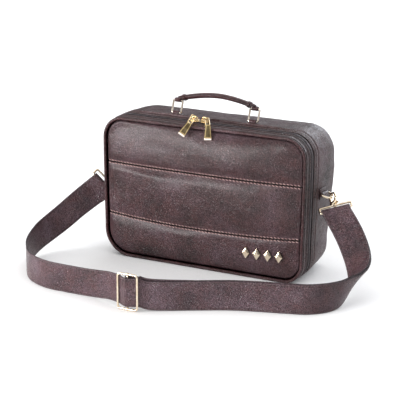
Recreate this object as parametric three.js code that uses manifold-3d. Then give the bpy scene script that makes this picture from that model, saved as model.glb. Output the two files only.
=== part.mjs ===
// A zip-round leather case with a carrying handle and a shoulder strap.
// Millimetres, +Z up, the front face towards -Y, origin on the floor under the middle of the case.
import * as THREE from 'three';
import { mergeVertices } from 'three/addons/utils/BufferGeometryUtils.js';
import Module from 'manifold-3d';

const wasm = await Module();
wasm.setup();

// Case
const WIDTH = 342;
const HEIGHT = 223;
const DEPTH = 113;
const WALL = 3;
const GAP = 0.3;
const REAR_EDGE_RADIUS = 14;
const BAND_DEPTH = 39.5;
const PIPING_RADIUS = 2.3;
const PIPING_AHEAD = 0.6;

// Zip
const TAPE_WIDTH = 10.4;
const TAPE_WALL = 1.6;
const TAPE_DROP = 1.2;
const TEETH_WIDTH = 5;
const TEETH_RISE = 1.1;
const SLIDER_LENGTH = 13;
const SLIDER_WIDTH = 9.5;
const SLIDER_HEIGHT = 3.6;
const SLIDER_PITCH = 16.5;
const SLIDER_MIDDLE = -13.8;
const BRIDGE_RISE = 4.8;
const BRIDGE_WIRE = 1.05;
const BRIDGE_SINK = 0.4;
const LINK_WIRE = 0.9;
const LINK_WIDTH = 6;
const LINK_CORNER = 1.6;
const PULL_LENGTH = 20;
const PULL_ABOVE = 3.4;
const PULL_WIDTH = 11;
const PULL_THICKNESS = 1.8;
const PULL_HEIGHT = 3;
const BARREL_WALL = 1;
const LINK_TAIL = 1.6;

// Front panels
const FRONT_BULGE = 7.5;
const PANEL_PUFF = 4;
const EDGE_TUCK = 1.5;
const UPPER_SEAM = 149;
const LOWER_SEAM = 68;
const LOWER_SEAM_SAG = 5;

// Lip along the top
const LIP_HEIGHT = 2.2;
const LIP_THICKNESS = 2.2;
const LIP_AHEAD = 1.3;
const LIP_LEFT = -138;
const LIP_RIGHT = 128;

// Ornament
const STUD_COUNT = 4;
const STUD_WIDTH = 12;
const STUD_TALL = 18;
const STUD_RELIEF = 1.6;
const STUD_PITCH = 17.6;
const STUD_ROW_X = 104.5;
const STUD_ROW_Z = 40;

// Handle
const HANDLE_X = -1.5;
const HANDLE_SPAN = 129;
const HANDLE_LEAN = 20;
const HANDLE_WIRE = 1.6;
const HANDLE_RING_WIDTH = 15.6;
const HANDLE_RING_HEIGHT = 20;
const HANDLE_RING_CORNER = 2.6;
const HANDLE_RISE = 10.5;
const HANDLE_ROUND = 1.8;
const GRIP_WIDTH = 13.5;
const GRIP_HEIGHT = 8;
const HANDLE_TAB_PATCH = 22;
const HANDLE_TAB_DEPTH = 10;

// Side rings and snap hooks
const SIDE_RING_Y = 0;
const SIDE_RING_Z = 128;
const D_WIRE = 1.5;
const D_BAR = 23;
const D_LEG = 2.5;
const D_LEFT_DROP = 60;
const D_RIGHT_DROP = 17;
const SIDE_PATCH_LENGTH = 17;
const SIDE_PATCH_WIDTH = 22;
const TAB_LEATHER = 1.6;
const HOOK_WIRE = 1.65;
const HOOK_RADIUS = 5.6;
const HOOK_LOOP = 11.5;
const HOOK_BASE = 5.5;
const HOOK_PLAY = 1.8;
const GATE_RADIUS = 1.15;
const STUD_SHAFT = 1.05;
const STUD_HEAD = 2;

// Strap
const STRAP_WIDTH = 42;
const STRAP_THICKNESS = 2.4;
const STRAP_RING_WIRE = 1.75;
const STRAP_RING_HEIGHT = 10;
const LAYER_GAP = 0.5;
const FOLD_LENGTH = 17;
const BUCKLE_LENGTH = 31;
const BUCKLE_WIRE = 1.6;
const BUCKLE_BAR_WIRE = 1.2;
const BUCKLE_COLLAR = 0.6;
const LAYER_STEP = 4;
const LAYER_STEP_LENGTH = 75;
const BUCKLE_MARGIN = 3;
const BUCKLE_CORNER = 4;

const FRONT = -DEPTH / 2;
const BAND_BACK = FRONT + BAND_DEPTH;

// Outline of the case from front to back. depth is a share of DEPTH, half a share of WIDTH,
// top and the corner radii are shares of HEIGHT.
const SECTIONS = [
  { depth: 0.00, half: 0.4950, top: 0.991, topRadius: 0.150, footRight: 0.142, footLeft: 0.190 },
  { depth: 0.18, half: 0.4985, top: 0.998, topRadius: 0.155, footRight: 0.145, footLeft: 0.185 },
  { depth: 0.35, half: 0.5000, top: 1.000, topRadius: 0.160, footRight: 0.150, footLeft: 0.180 },
  { depth: 0.70, half: 0.5000, top: 0.998, topRadius: 0.172, footRight: 0.155, footLeft: 0.170 },
  { depth: 1.00, half: 0.4950, top: 0.990, topRadius: 0.180, footRight: 0.160, footLeft: 0.165 },
];

// How far the sides stand out from the outline. height is a share of HEIGHT, the others of WIDTH.
const SIDE_FORM = [
  { height: 0.00, front: -0.0065, rear: -0.026 },
  { height: 0.22, front: -0.0050, rear: -0.020 },
  { height: 0.50, front: -0.0020, rear: -0.004 },
  { height: 0.72, front: 0.0000, rear: 0.006 },
  { height: 1.00, front: 0.0000, rear: 0.000 },
];

// Soft dents and swellings of the front. across is a share of WIDTH from the middle, up of HEIGHT,
// reach of HEIGHT and out of DEPTH, negative inwards.
const DENTS = [
  { across: -0.40, up: 0.57, reach: 0.12, out: -0.018 },
  { across: 0.10, up: 0.76, reach: 0.20, out: 0.012 },
  { across: 0.16, up: 0.50, reach: 0.20, out: 0.014 },
  { across: 0.36, up: 0.44, reach: 0.12, out: -0.014 },
  { across: -0.12, up: 0.20, reach: 0.22, out: 0.008 },
];

// Route of the strap's lower edge from the left ring to the buckle and from there to the right ring.
// x is a share of WIDTH, y of DEPTH and z of HEIGHT; tipX and tipY lean the upper edge.
const STRAP_LEFT = [
  { x: -0.634, y: -0.350, z: 0.222, tipX: -0.45, tipY: -0.38 },
  { x: -0.684, y: -0.520, z: 0.138, tipX: -0.37, tipY: -0.32 },
  { x: -0.722, y: -0.710, z: 0.076, tipX: -0.26, tipY: -0.20 },
  { x: -0.742, y: -0.940, z: 0.034, tipX: -0.17, tipY: -0.06 },
  { x: -0.737, y: -1.190, z: 0.006, tipX: -0.10, tipY: 0.01 },
  { x: -0.704, y: -1.460, z: 0.000, tipX: -0.05, tipY: 0.02 },
  { x: -0.650, y: -1.725, z: 0.000, tipX: -0.03, tipY: 0.03 },
  { x: -0.585, y: -1.955, z: 0.000, tipX: -0.03, tipY: 0.04 },
  { x: -0.509, y: -2.090, z: 0.000, tipX: -0.02, tipY: 0.04 },
  { x: -0.440, y: -2.145, z: 0.000, tipX: 0.00, tipY: 0.03 },
  { x: -0.370, y: -2.150, z: 0.000, tipX: 0.00, tipY: 0.01 },
  { x: -0.297, y: -2.150, z: 0.000, tipX: 0.00, tipY: 0.00 },
  { x: -0.238, y: -2.164, z: 0.004, tipX: 0.00, tipY: 0.00 },
  { x: -0.182, y: -2.195, z: 0.013, tipX: 0.00, tipY: 0.00 },
  { x: -0.125, y: -2.255, z: 0.028, tipX: 0.00, tipY: 0.00 },
];
const STRAP_RIGHT = [
  { x: 0.056, y: -2.262, z: 0.009, tipX: 0.00, tipY: 0.00 },
  { x: 0.119, y: -2.150, z: 0.002, tipX: 0.00, tipY: 0.02 },
  { x: 0.205, y: -1.995, z: 0.000, tipX: 0.00, tipY: 0.05 },
  { x: 0.350, y: -1.755, z: 0.000, tipX: 0.00, tipY: 0.07 },
  { x: 0.465, y: -1.630, z: 0.000, tipX: -0.02, tipY: 0.08 },
  { x: 0.560, y: -1.540, z: 0.000, tipX: -0.04, tipY: 0.10 },
  { x: 0.643, y: -1.450, z: 0.000, tipX: -0.06, tipY: 0.10 },
  { x: 0.692, y: -1.325, z: 0.000, tipX: -0.03, tipY: 0.07 },
  { x: 0.719, y: -1.190, z: 0.000, tipX: 0.04, tipY: 0.02 },
  { x: 0.730, y: -1.040, z: 0.002, tipX: 0.18, tipY: -0.03 },
  { x: 0.732, y: -0.885, z: 0.018, tipX: 0.34, tipY: -0.15 },
  { x: 0.728, y: -0.735, z: 0.040, tipX: 0.60, tipY: -0.22 },
  { x: 0.720, y: -0.610, z: 0.072, tipX: 0.88, tipY: -0.12 },
  { x: 0.706, y: -0.520, z: 0.112, tipX: 1.09, tipY: 0.12 },
  { x: 0.684, y: -0.445, z: 0.162, tipX: 1.25, tipY: 0.40 },
  { x: 0.654, y: -0.380, z: 0.230, tipX: 1.41, tipY: 0.67 },
  { x: 0.617, y: -0.325, z: 0.311, tipX: 1.50, tipY: 0.85 },
];

// The strap through the buckle. along is a share of half the buckle's length, out a share of the room behind
// the frame or, where it is negative, before the bar, and lift is in millimetres.
const BUCKLE_RUN = [
  { along: -1.00, out: 1.0, lift: 2.8 },
  { along: -0.55, out: -0.2, lift: 3.0 },
  { along: 0.00, out: -1.0, lift: 2.6 },
  { along: 0.50, out: -0.2, lift: 2.0 },
  { along: 1.00, out: 1.0, lift: 1.8 },
];

// Middle of the buckle on the strap's route: x is a share of WIDTH and y of DEPTH.
const BUCKLE_AT = { x: -0.0181, y: -2.3628 };
const BUCKLE_X = BUCKLE_AT.x * WIDTH;
const BUCKLE_Y = BUCKLE_AT.y * DEPTH;

const LEATHER = { color: 0x4a3a3b, roughness: 0.48, metalness: 0 };
const DARK_LEATHER = { color: 0x35282a, roughness: 0.5, metalness: 0 };
const TAPE = { color: 0x241c1e, roughness: 0.8, metalness: 0 };
const GOLD = { color: 0xc9ae78, roughness: 0.28, metalness: 1 };

const bag = new THREE.Group();
const vec = (x, y, z) => new THREE.Vector3(x, y, z);
const radians = THREE.MathUtils.degToRad;
const lerp = THREE.MathUtils.lerp;

function put(name, geometry, look) {
  const mesh = new THREE.Mesh(geometry, new THREE.MeshStandardMaterial(look));
  mesh.name = name;
  bag.add(mesh);
  return mesh;
}

// Value of one column of a table at a place between its rows, with smooth joins.
function between(rows, key, column, at) {
  let i = 0;
  while (i < rows.length - 2 && at > rows[i + 1][key]) i += 1;
  const share = THREE.MathUtils.smoothstep(at, rows[i][key], rows[i + 1][key]);
  return lerp(rows[i][column], rows[i + 1][column], share);
}

function indexed(points, triangles) {
  const geometry = new THREE.BufferGeometry();
  geometry.setAttribute('position', new THREE.Float32BufferAttribute(points.flatMap((p) => [p.x, p.y, p.z]), 3));
  geometry.setIndex(triangles.flat());
  return outward(geometry);
}

// Turns the faces round where they point into the body.
function outward(geometry) {
  const p = geometry.attributes.position;
  const index = geometry.index.array;
  const a = vec();
  const b = vec();
  const c = vec();
  let volume = 0;
  for (let i = 0; i < index.length; i += 3) {
    a.fromBufferAttribute(p, index[i]);
    b.fromBufferAttribute(p, index[i + 1]);
    c.fromBufferAttribute(p, index[i + 2]);
    volume += a.dot(b.cross(c));
  }
  if (volume < 0) {
    for (let i = 0; i < index.length; i += 3) {
      [index[i + 1], index[i + 2]] = [index[i + 2], index[i + 1]];
    }
  }
  return geometry;
}

function welded(geometry) {
  const bare = geometry.clone();
  bare.deleteAttribute('normal');
  bare.deleteAttribute('uv');
  return mergeVertices(bare, 1e-4);
}

function solid(geometry) {
  const bare = outward(welded(geometry));
  return new wasm.Manifold(new wasm.Mesh({
    numProp: 3,
    vertProperties: new Float32Array(bare.attributes.position.array),
    triVerts: new Uint32Array(bare.index.array),
  }));
}

function fromSolid(body) {
  const mesh = body.getMesh();
  const geometry = new THREE.BufferGeometry();
  geometry.setAttribute('position', new THREE.BufferAttribute(mesh.vertProperties, 3));
  geometry.setIndex(Array.from(mesh.triVerts));
  return geometry;
}

function joined(first, ...rest) {
  return rest.reduce((whole, next) => whole.add(solid(next)), solid(first));
}

// Body through a row of closed rings with as many corners each. A closed row needs no ends.
function loft(rings, closed = false) {
  const corners = rings[0].length;
  const points = rings.flat();
  const triangles = [];
  const last = closed ? rings.length : rings.length - 1;
  for (let i = 0; i < last; i += 1) {
    const next = (i + 1) % rings.length;
    for (let j = 0; j < corners; j += 1) {
      const k = (j + 1) % corners;
      const [a, b, c, d] = [i * corners + j, i * corners + k, next * corners + k, next * corners + j];
      triangles.push([a, b, c], [a, c, d]);
    }
  }
  if (!closed) {
    for (const [base, turn] of [[0, 1], [(rings.length - 1) * corners, -1]]) {
      for (let j = 1; j < corners - 1; j += 1) {
        triangles.push(turn > 0 ? [base, base + j + 1, base + j] : [base, base + j, base + j + 1]);
      }
    }
  }
  return indexed(points, triangles);
}

// Round wire of a flat closed or open line, given as points in its own X-Y plane.
function wire(points, radius, sides, closed = true) {
  const rings = points.map((p, i) => {
    const before = points[closed ? (i + points.length - 1) % points.length : Math.max(i - 1, 0)];
    const after = points[closed ? (i + 1) % points.length : Math.min(i + 1, points.length - 1)];
    const along = new THREE.Vector2().subVectors(after, before).normalize();
    return Array.from({ length: sides }, (_, j) => {
      const angle = (2 * Math.PI * (j + 0.5)) / sides;
      const out = radius * Math.cos(angle);
      return vec(p.x - along.y * out, p.y + along.x * out, radius * Math.sin(angle));
    });
  });
  return loft(rings, closed);
}

// Rounded rectangle about the origin, as points that run round it once.
function roundedRectangle(width, height, radius, steps) {
  const points = [];
  const corners = [[1, -1, -90], [1, 1, 0], [-1, 1, 90], [-1, -1, 180]];
  for (const [sx, sy, start] of corners) {
    for (let i = 0; i <= steps; i += 1) {
      const angle = radians(start + (90 * i) / steps);
      points.push(new THREE.Vector2(
        sx * (width / 2 - radius) + radius * Math.cos(angle),
        sy * (height / 2 - radius) + radius * Math.sin(angle),
      ));
    }
  }
  return points;
}

// Moves a geometry from its own axes to an origin with given directions of X and Y.
function placed(geometry, origin, xAxis, yAxis) {
  const x = xAxis.clone().normalize();
  const z = x.clone().cross(yAxis).normalize();
  const y = z.clone().cross(x);
  return geometry.clone().applyMatrix4(new THREE.Matrix4().makeBasis(x, y, z).setPosition(origin));
}

function cylinder(radius, length, sides, origin, axis) {
  const body = new THREE.CylinderGeometry(radius, radius, length, sides);
  const turn = new THREE.Quaternion().setFromUnitVectors(vec(0, 1, 0), axis.clone().normalize());
  return body.applyQuaternion(turn).translate(origin.x, origin.y, origin.z);
}

// Case wall

// Outline of the case at a depth.
function section(y) {
  const at = (y - FRONT) / DEPTH;
  return {
    half: WIDTH * between(SECTIONS, 'depth', 'half', at),
    top: HEIGHT * between(SECTIONS, 'depth', 'top', at),
    topRadius: HEIGHT * between(SECTIONS, 'depth', 'topRadius', at),
    footRight: HEIGHT * between(SECTIONS, 'depth', 'footRight', at),
    footLeft: HEIGHT * between(SECTIONS, 'depth', 'footLeft', at),
  };
}

// Pinches and swells a point of the case sideways.
function formed(x, y, z) {
  const { half, top } = section(y);
  const front = between(SIDE_FORM, 'height', 'front', z / top);
  const rear = between(SIDE_FORM, 'height', 'rear', z / top);
  const reach = THREE.MathUtils.smoothstep(y, BAND_BACK - BAND_DEPTH / 2, DEPTH / 2);
  return vec(x + (WIDTH * lerp(front, rear, reach) * x) / half, y, z);
}

// Stations round the outline: each is a share of a corner's arc or of a straight side.
const CORNER_STEPS = 6;
const ACROSS_STEPS = 6;
const UP_STEPS = 4;
const STATIONS = [];
for (const [corner, straight, steps] of [[0, 'right', UP_STEPS], [1, 'top', ACROSS_STEPS],
  [2, 'left', UP_STEPS], [3, 'bottom', ACROSS_STEPS]]) {
  for (let i = 0; i <= CORNER_STEPS; i += 1) STATIONS.push({ corner, share: i / CORNER_STEPS });
  for (let i = 1; i < steps; i += 1) STATIONS.push({ straight, share: i / steps });
}

function cornerPoint(corner, share, y, offset) {
  const { half, top, topRadius, footRight, footLeft } = section(y);
  const radius = [footRight, topRadius, topRadius, footLeft][corner];
  const sx = corner < 2 ? 1 : -1;
  const centreZ = corner === 1 || corner === 2 ? top - radius : radius;
  const angle = radians(90 * (corner - 1 + share));
  const reach = radius + offset;
  return vec(sx * (half - radius) + reach * Math.cos(angle), y, centreZ + reach * Math.sin(angle));
}

// Point of the case's wall at a station, offset outwards from the outer surface.
function wallPoint(station, y, offset) {
  let p;
  if (station.straight) {
    const corner = { right: 0, top: 1, left: 2, bottom: 3 }[station.straight];
    const from = cornerPoint(corner, 1, y, offset);
    p = from.lerp(cornerPoint((corner + 1) % 4, 0, y, offset), station.share);
  } else {
    p = cornerPoint(station.corner, station.share, y, offset);
  }
  return formed(p.x, p.y, p.z);
}

// Body that runs round the case with a closed profile of [y, offset] corners.
function wallRing(profile) {
  return loft(STATIONS.map((station) => profile.map(([y, offset]) => wallPoint(station, y, offset))), true);
}

// Height of the outer surface over a place on the top.
function topHeight(y) {
  return section(y).top;
}

// Farthest reach of a side under a patch sewn on it at a depth and height.
function sideReach(sign, y, z) {
  const reaches = [-0.5, 0, 0.5].flatMap((a) => [-0.5, 0, 0.5].map((b) => {
    const at = y + a * SIDE_PATCH_WIDTH;
    return sign * formed(sign * section(at).half, at, z + b * SIDE_PATCH_LENGTH).x;
  }));
  return sign * Math.max(...reaches);
}

function rearGusset() {
  const start = BAND_BACK + GAP / 2;
  const flat = DEPTH / 2 - REAR_EDGE_RADIUS;
  const profile = [[start, -0.6], [start + 3, 0], [lerp(start, flat, 0.5), 0]];
  const arc = (radius, angle) => [flat + radius * Math.sin(radians(angle)),
    -REAR_EDGE_RADIUS + radius * Math.cos(radians(angle))];
  const outer = [0, 30, 60, 90].map((angle) => arc(REAR_EDGE_RADIUS, angle));
  const inner = [90, 45, 0].map((angle) => arc(REAR_EDGE_RADIUS - WALL, angle));
  return wallRing([...profile, ...outer, ...inner, [start, -WALL]]);
}

// Rounded strip between two depths, slightly domed outwards.
function strip(from, to, sink) {
  const ease = Math.min(1.2, (to - from) / 4);
  return wallRing([[from, -sink - ease / 2], [from + ease, -sink], [to - ease, -sink], [to, -sink - ease / 2],
    [to, -WALL], [from, -WALL]]);
}

function zipTape(from, to) {
  const middle = (from + to) / 2;
  const half = TEETH_WIDTH / 2;
  const teeth = TEETH_RISE - TAPE_DROP;
  return wallRing([[from, -TAPE_DROP], [middle - half, -TAPE_DROP], [middle - half + 0.8, teeth],
    [middle + half - 0.8, teeth], [middle + half, -TAPE_DROP], [to, -TAPE_DROP],
    [to, -TAPE_DROP - TAPE_WALL], [from, -TAPE_DROP - TAPE_WALL]]);
}

function piping() {
  const sides = 6;
  const profile = Array.from({ length: sides }, (_, i) => {
    const angle = Math.PI / 2 + (2 * Math.PI * i) / sides;
    return [FRONT - PIPING_AHEAD + PIPING_RADIUS * Math.cos(angle), -PIPING_RADIUS + PIPING_RADIUS * Math.sin(angle)];
  });
  return wallRing(profile);
}

// Plate that closes the rear, bulged outwards.
function backPanel() {
  const rear = DEPTH / 2;
  const bulge = 4;
  const rim = STATIONS.map((station) => wallPoint(station, rear, -REAR_EDGE_RADIUS - GAP));
  const middle = HEIGHT / 2;
  const rings = [1, 0.8, 0.45];
  const face = (lift) => rings.map((share) => rim.map((p) => vec(p.x * share, rear + lift
    + bulge * (1 - share ** 3), middle + (p.z - middle) * share)));
  const outer = face(0);
  const inner = face(-WALL).reverse();
  const body = [...outer, ...inner];
  const n = rim.length;
  const points = [...body.flat(), vec(0, rear + bulge, middle), vec(0, rear + bulge - WALL, middle)];
  const triangles = [];
  for (let i = 0; i < n; i += 1) {
    const k = (i + 1) % n;
    for (let r = 0; r < body.length; r += 1) {
      if (r === outer.length - 1) continue;
      const s = (r + 1) % body.length;
      triangles.push([r * n + i, r * n + k, s * n + k], [r * n + i, s * n + k, s * n + i]);
    }
    triangles.push([(outer.length - 1) * n + i, (outer.length - 1) * n + k, body.length * n]);
    triangles.push([outer.length * n + k, outer.length * n + i, body.length * n + 1]);
  }
  return indexed(points, triangles);
}

// Front panels

const PANEL_INSET = 2 * PIPING_RADIUS + GAP;
const frontSection = section(FRONT);
const PANEL_HALF = frontSection.half - PANEL_INSET;
const PANEL_TOP = frontSection.top - PANEL_INSET;
const PANEL_FOOT = PANEL_INSET;

const pillow = (share, power) => 1 - Math.min(1, Math.abs(share)) ** power;

// Outline of the front inside the piping, as a height for each x.
function outlineTop(x) {
  const radius = frontSection.topRadius - PANEL_INSET;
  const past = Math.max(0, Math.abs(x) - (PANEL_HALF - radius));
  return PANEL_TOP - radius + Math.sqrt(Math.max(0, radius ** 2 - past ** 2));
}

function outlineFoot(x) {
  const radius = (x > 0 ? frontSection.footRight : frontSection.footLeft) - PANEL_INSET;
  const past = Math.max(0, Math.abs(x) - (PANEL_HALF - radius));
  return PANEL_FOOT + radius - Math.sqrt(Math.max(0, radius ** 2 - past ** 2));
}

const lowerSeam = (x) => LOWER_SEAM - LOWER_SEAM_SAG * pillow(x / PANEL_HALF, 2);
const upperSeam = () => UPPER_SEAM;

// Columns across a panel, close together round its corners.
function panelColumns() {
  const corner = [1, 0.985, 0.93, 0.83, 0.7];
  const flat = [0.52, 0.34, 0.17];
  const right = [...corner, ...flat];
  return [...right.map((s) => -s), 0, ...right.reverse()].map((s) => s * PANEL_HALF);
}

// Depth of a panel's face. low and high bound the panel at this x.
function panelFace(x, z, low, high) {
  const across = x / PANEL_HALF;
  const up = (2 * (z - PANEL_FOOT)) / (PANEL_TOP - PANEL_FOOT) - 1;
  const own = (2 * (z - low)) / (high - low) - 1;
  let out = FRONT_BULGE * pillow(across, 2.6) * pillow(up, 2.6) - EDGE_TUCK;
  out += PANEL_PUFF * pillow(own, 2.4) * pillow(across, 9);
  for (const dent of DENTS) {
    const dx = (x - dent.across * WIDTH) / (dent.reach * HEIGHT);
    const dz = (z - dent.up * HEIGHT) / (dent.reach * HEIGHT);
    out += dent.out * DEPTH * Math.exp(-dx * dx - dz * dz) * pillow(own, 4) * pillow(across, 9);
  }
  return FRONT - out;
}

function panel(low, high) {
  const columns = panelColumns();
  const rows = [0, 0.06, 0.25, 0.5, 0.75, 0.94, 1];
  const rings = columns.map((x) => {
    const from = low(x);
    const to = high(x);
    const face = rows.map((v) => {
      const z = lerp(from, to, v);
      return formed(x, panelFace(x, z, from, to), z);
    });
    const back = face.map((p) => vec(p.x, p.y + WALL, p.z)).reverse();
    return [...face, ...back];
  });
  const corners = rings[0].length;
  const points = rings.flat();
  const triangles = [];
  for (let i = 0; i < rings.length - 1; i += 1) {
    for (let j = 0; j < corners; j += 1) {
      const k = (j + 1) % corners;
      const [a, b, c, d] = [i * corners + j, i * corners + k, (i + 1) * corners + k, (i + 1) * corners + j];
      triangles.push([a, b, c], [a, c, d]);
    }
  }
  for (const [base, turn] of [[0, 1], [(rings.length - 1) * corners, -1]]) {
    for (let j = 0; j < rows.length - 1; j += 1) {
      const [a, b, c, d] = [base + j, base + j + 1, base + corners - 2 - j, base + corners - 1 - j];
      triangles.push(turn > 0 ? [a, c, b] : [a, b, c], turn > 0 ? [a, d, c] : [a, c, d]);
    }
  }
  return indexed(points, triangles);
}

// Front face's depth anywhere on the lowest panel, or on the highest one.
const lowFace = (x, z) => panelFace(x, z, outlineFoot(x), lowerSeam(x) - GAP / 2);
const highFace = (x, z) => panelFace(x, z, upperSeam() + GAP / 2, outlineTop(x));

// Plain lozenge with a ridge, lying on the lowest panel.
function lozenge(x) {
  const w = STUD_WIDTH / 2;
  const h = STUD_TALL / 2;
  const rim = [vec(w, 0, 0), vec(0, 0, h), vec(-w, 0, 0), vec(0, 0, -h)];
  const back = Math.min(...rim.map((p) => lowFace(x + p.x, STUD_ROW_Z + p.z)), lowFace(x, STUD_ROW_Z)) - GAP;
  const at = (y, share) => rim.map((p) => vec(x + p.x * share, y, STUD_ROW_Z + p.z * share));
  return loft([at(back, 1), at(back - STUD_RELIEF * 0.4, 1), at(back - STUD_RELIEF, 0.45)]);
}

// Raised lip on the top where the band meets the gusset.
function topLip() {
  const steps = 12;
  const rings = [];
  for (let i = 0; i <= steps; i += 1) {
    const x = lerp(LIP_LEFT, LIP_RIGHT, i / steps);
    const end = Math.min(1, 4 * Math.min(i, steps - i) / steps + 0.35);
    const from = BAND_BACK - LIP_AHEAD - LIP_THICKNESS / 2;
    const to = BAND_BACK - LIP_AHEAD + LIP_THICKNESS / 2;
    const foot = Math.max(topHeight(from), topHeight(to)) + GAP;
    rings.push([vec(x, from, foot), vec(x, from + 0.3, foot + LIP_HEIGHT * end),
      vec(x, to - 0.7, foot + LIP_HEIGHT * end * 0.9), vec(x, to, foot)]);
  }
  return loft(rings);
}

// Zip sliders and pulls

const ZIP_MIDDLE = (FRONT + BAND_BACK) / 2;
const SLIDER_FOOT = topHeight(ZIP_MIDDLE) + TEETH_RISE - TAPE_DROP + GAP;

function slider(x, facing) {
  const outline = new THREE.Shape();
  const l = SLIDER_LENGTH / 2;
  const w = SLIDER_WIDTH / 2;
  outline.moveTo(-l, -w * 0.6);
  outline.lineTo(-l * 0.3, -w);
  outline.lineTo(l * 0.8, -w);
  outline.lineTo(l, -w * 0.5);
  outline.lineTo(l * 0.6, 0);
  outline.lineTo(l, w * 0.5);
  outline.lineTo(l * 0.8, w);
  outline.lineTo(-l * 0.3, w);
  outline.lineTo(-l, w * 0.6);
  const body = new THREE.ExtrudeGeometry(outline, { depth: SLIDER_HEIGHT, bevelEnabled: false });
  const arch = [];
  for (let i = 0; i <= 6; i += 1) {
    const angle = Math.PI - (Math.PI * i) / 6;
    arch.push(new THREE.Vector2(0.62 * l * Math.cos(angle), BRIDGE_RISE * Math.sin(angle)));
  }
  const bridge = placed(wire(arch, BRIDGE_WIRE, 6, false), vec(0, 0, SLIDER_HEIGHT - BRIDGE_SINK), vec(1, 0, 0), vec(0, 0, 1));
  const whole = fromSolid(joined(body, bridge));
  return placed(whole, vec(x, ZIP_MIDDLE, SLIDER_FOOT), vec(facing, 0, 0), vec(0, facing, 0));
}

// Where a link and its pull lie. One leg of the link runs through the slider's bridge and the other past
// its outer post; the pull hangs from the link's front bar, turned by lean. side is 1 on the right.
function pullFrame({ side, shift, lean }) {
  const sliderX = SLIDER_MIDDLE + (side * SLIDER_PITCH) / 2;
  const eyeX = sliderX + shift;
  const height = topHeight(FRONT) + PULL_HEIGHT;
  const window = vec(sliderX, ZIP_MIDDLE, SLIDER_FOOT + SLIDER_HEIGHT - BRIDGE_SINK + BRIDGE_RISE - BRIDGE_WIRE - LINK_WIRE - GAP);
  const tilt = radians(lean);
  const edge = FRONT - PIPING_AHEAD - PIPING_RADIUS;
  const turn = Math.atan2(shift - side * 3, ZIP_MIDDLE - edge);
  const reach = (PULL_WIDTH / 2) * Math.abs(Math.sin(turn));
  const eye = vec(eyeX, edge - GAP - BARREL, height);
  const footX = eyeX + PULL_LENGTH * Math.sin(tilt);
  const behind = highFace(footX, height - PULL_LENGTH) - reach - 2 * GAP;
  const footY = Math.min(eye.y, behind + BARREL - GAP);
  const rough = eye.clone().sub(window);
  const level = rough.clone().cross(vec(0, 0, 1)).normalize().negate();
  const across = level.applyAxisAngle(rough.clone().normalize(), tilt);
  const rear = window.clone().addScaledVector(across, (side * LINK_WIDTH) / 2);
  const along = eye.clone().sub(rear).normalize();
  across.addScaledVector(along, -across.dot(along)).normalize();
  const down = vec(0, footY - eye.y, -PULL_LENGTH * Math.cos(tilt));
  down.addScaledVector(across, -down.dot(across)).normalize();
  return { eye, rear, along, across, down };
}

const BARREL = LINK_WIRE + GAP + BARREL_WALL;

// Tapered plate with a barrel on its back that turns on the link's front bar.
function zipPull({ eye, across, down }) {
  const w = PULL_WIDTH / 2;
  const half = [[0.5, PULL_ABOVE], [0.6, PULL_ABOVE - 0.8], [0.66, 0], [0.86, -PULL_LENGTH * 0.62],
    [1, -PULL_LENGTH + 2.4], [1, -PULL_LENGTH + 0.8], [0.8, -PULL_LENGTH]];
  const rim = [...half, ...half.map(([x, y]) => [-x, y]).reverse()].map(([x, y]) => new THREE.Vector2(x * w, y));
  const plate = new THREE.ExtrudeGeometry(new THREE.Shape(rim), { depth: PULL_THICKNESS, bevelEnabled: false });
  plate.translate(0, 0, BARREL - GAP);
  const straight = LINK_WIDTH - 2 * LINK_CORNER;
  const barrel = cylinder(BARREL, straight, 10, vec(0, 0, 0), vec(1, 0, 0));
  const bore = cylinder(LINK_WIRE + GAP, PULL_WIDTH, 10, vec(0, 0, 0), vec(1, 0, 0));
  const whole = fromSolid(joined(plate, barrel).subtract(solid(bore)));
  return placed(whole, eye, across, down.clone().negate());
}

function zipLink({ eye, rear, along, across }) {
  const behind = LINK_WIRE + GAP + LINK_TAIL;
  const length = eye.distanceTo(rear) + behind;
  const loop = wire(roundedRectangle(length, LINK_WIDTH, LINK_CORNER, 3), LINK_WIRE, 6);
  return placed(loop, eye.clone().addScaledVector(along, -length / 2), along, across);
}

// Loops of leather

// Leather folded round a bar that runs along local X, on a sewn patch; local Z points away from the case.
const loopHeight = (barRadius) => barRadius + GAP + TAB_LEATHER;

function leatherLoop(width, patchLength, patchDepth, barRadius) {
  const outer = loopHeight(barRadius);
  const shape = new THREE.Shape();
  shape.moveTo(-outer, 0);
  shape.lineTo(outer, 0);
  shape.lineTo(outer, outer);
  shape.absarc(0, outer, outer, 0, Math.PI, false);
  const hole = new THREE.Path();
  hole.absarc(0, outer, barRadius + GAP, 0, 2 * Math.PI, true);
  shape.holes.push(hole);
  const loop = new THREE.ExtrudeGeometry(shape, { depth: width, bevelEnabled: false, curveSegments: 7 });
  loop.translate(0, 0, -width / 2);
  const upright = placed(loop, vec(0, 0, 0), vec(0, 1, 0), vec(0, 0, 1));
  const patch = new THREE.BoxGeometry(patchLength, patchDepth, TAB_LEATHER).translate(0, 0, TAB_LEATHER / 2);
  return fromSolid(joined(upright, patch));
}

// Handle

// The tabs stand close behind the lip, and the handle leans back by HANDLE_LEAN degrees.
const HANDLE_Y = BAND_BACK - LIP_AHEAD + LIP_THICKNESS / 2 + 2 * GAP + loopHeight(HANDLE_WIRE);
const TAB_FOOT = topHeight(HANDLE_Y) + GAP;
const HANDLE_AXIS_Z = TAB_FOOT + loopHeight(HANDLE_WIRE);
const RING_TOP_Z = HANDLE_AXIS_Z + HANDLE_RING_HEIGHT;
const RING_STRAIGHT = HANDLE_RING_WIDTH - 2 * HANDLE_RING_CORNER;

function leaned(geometry) {
  return geometry.translate(0, -HANDLE_Y, -HANDLE_AXIS_Z).rotateX(-radians(HANDLE_LEAN))
    .translate(0, HANDLE_Y, HANDLE_AXIS_Z);
}

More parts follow.
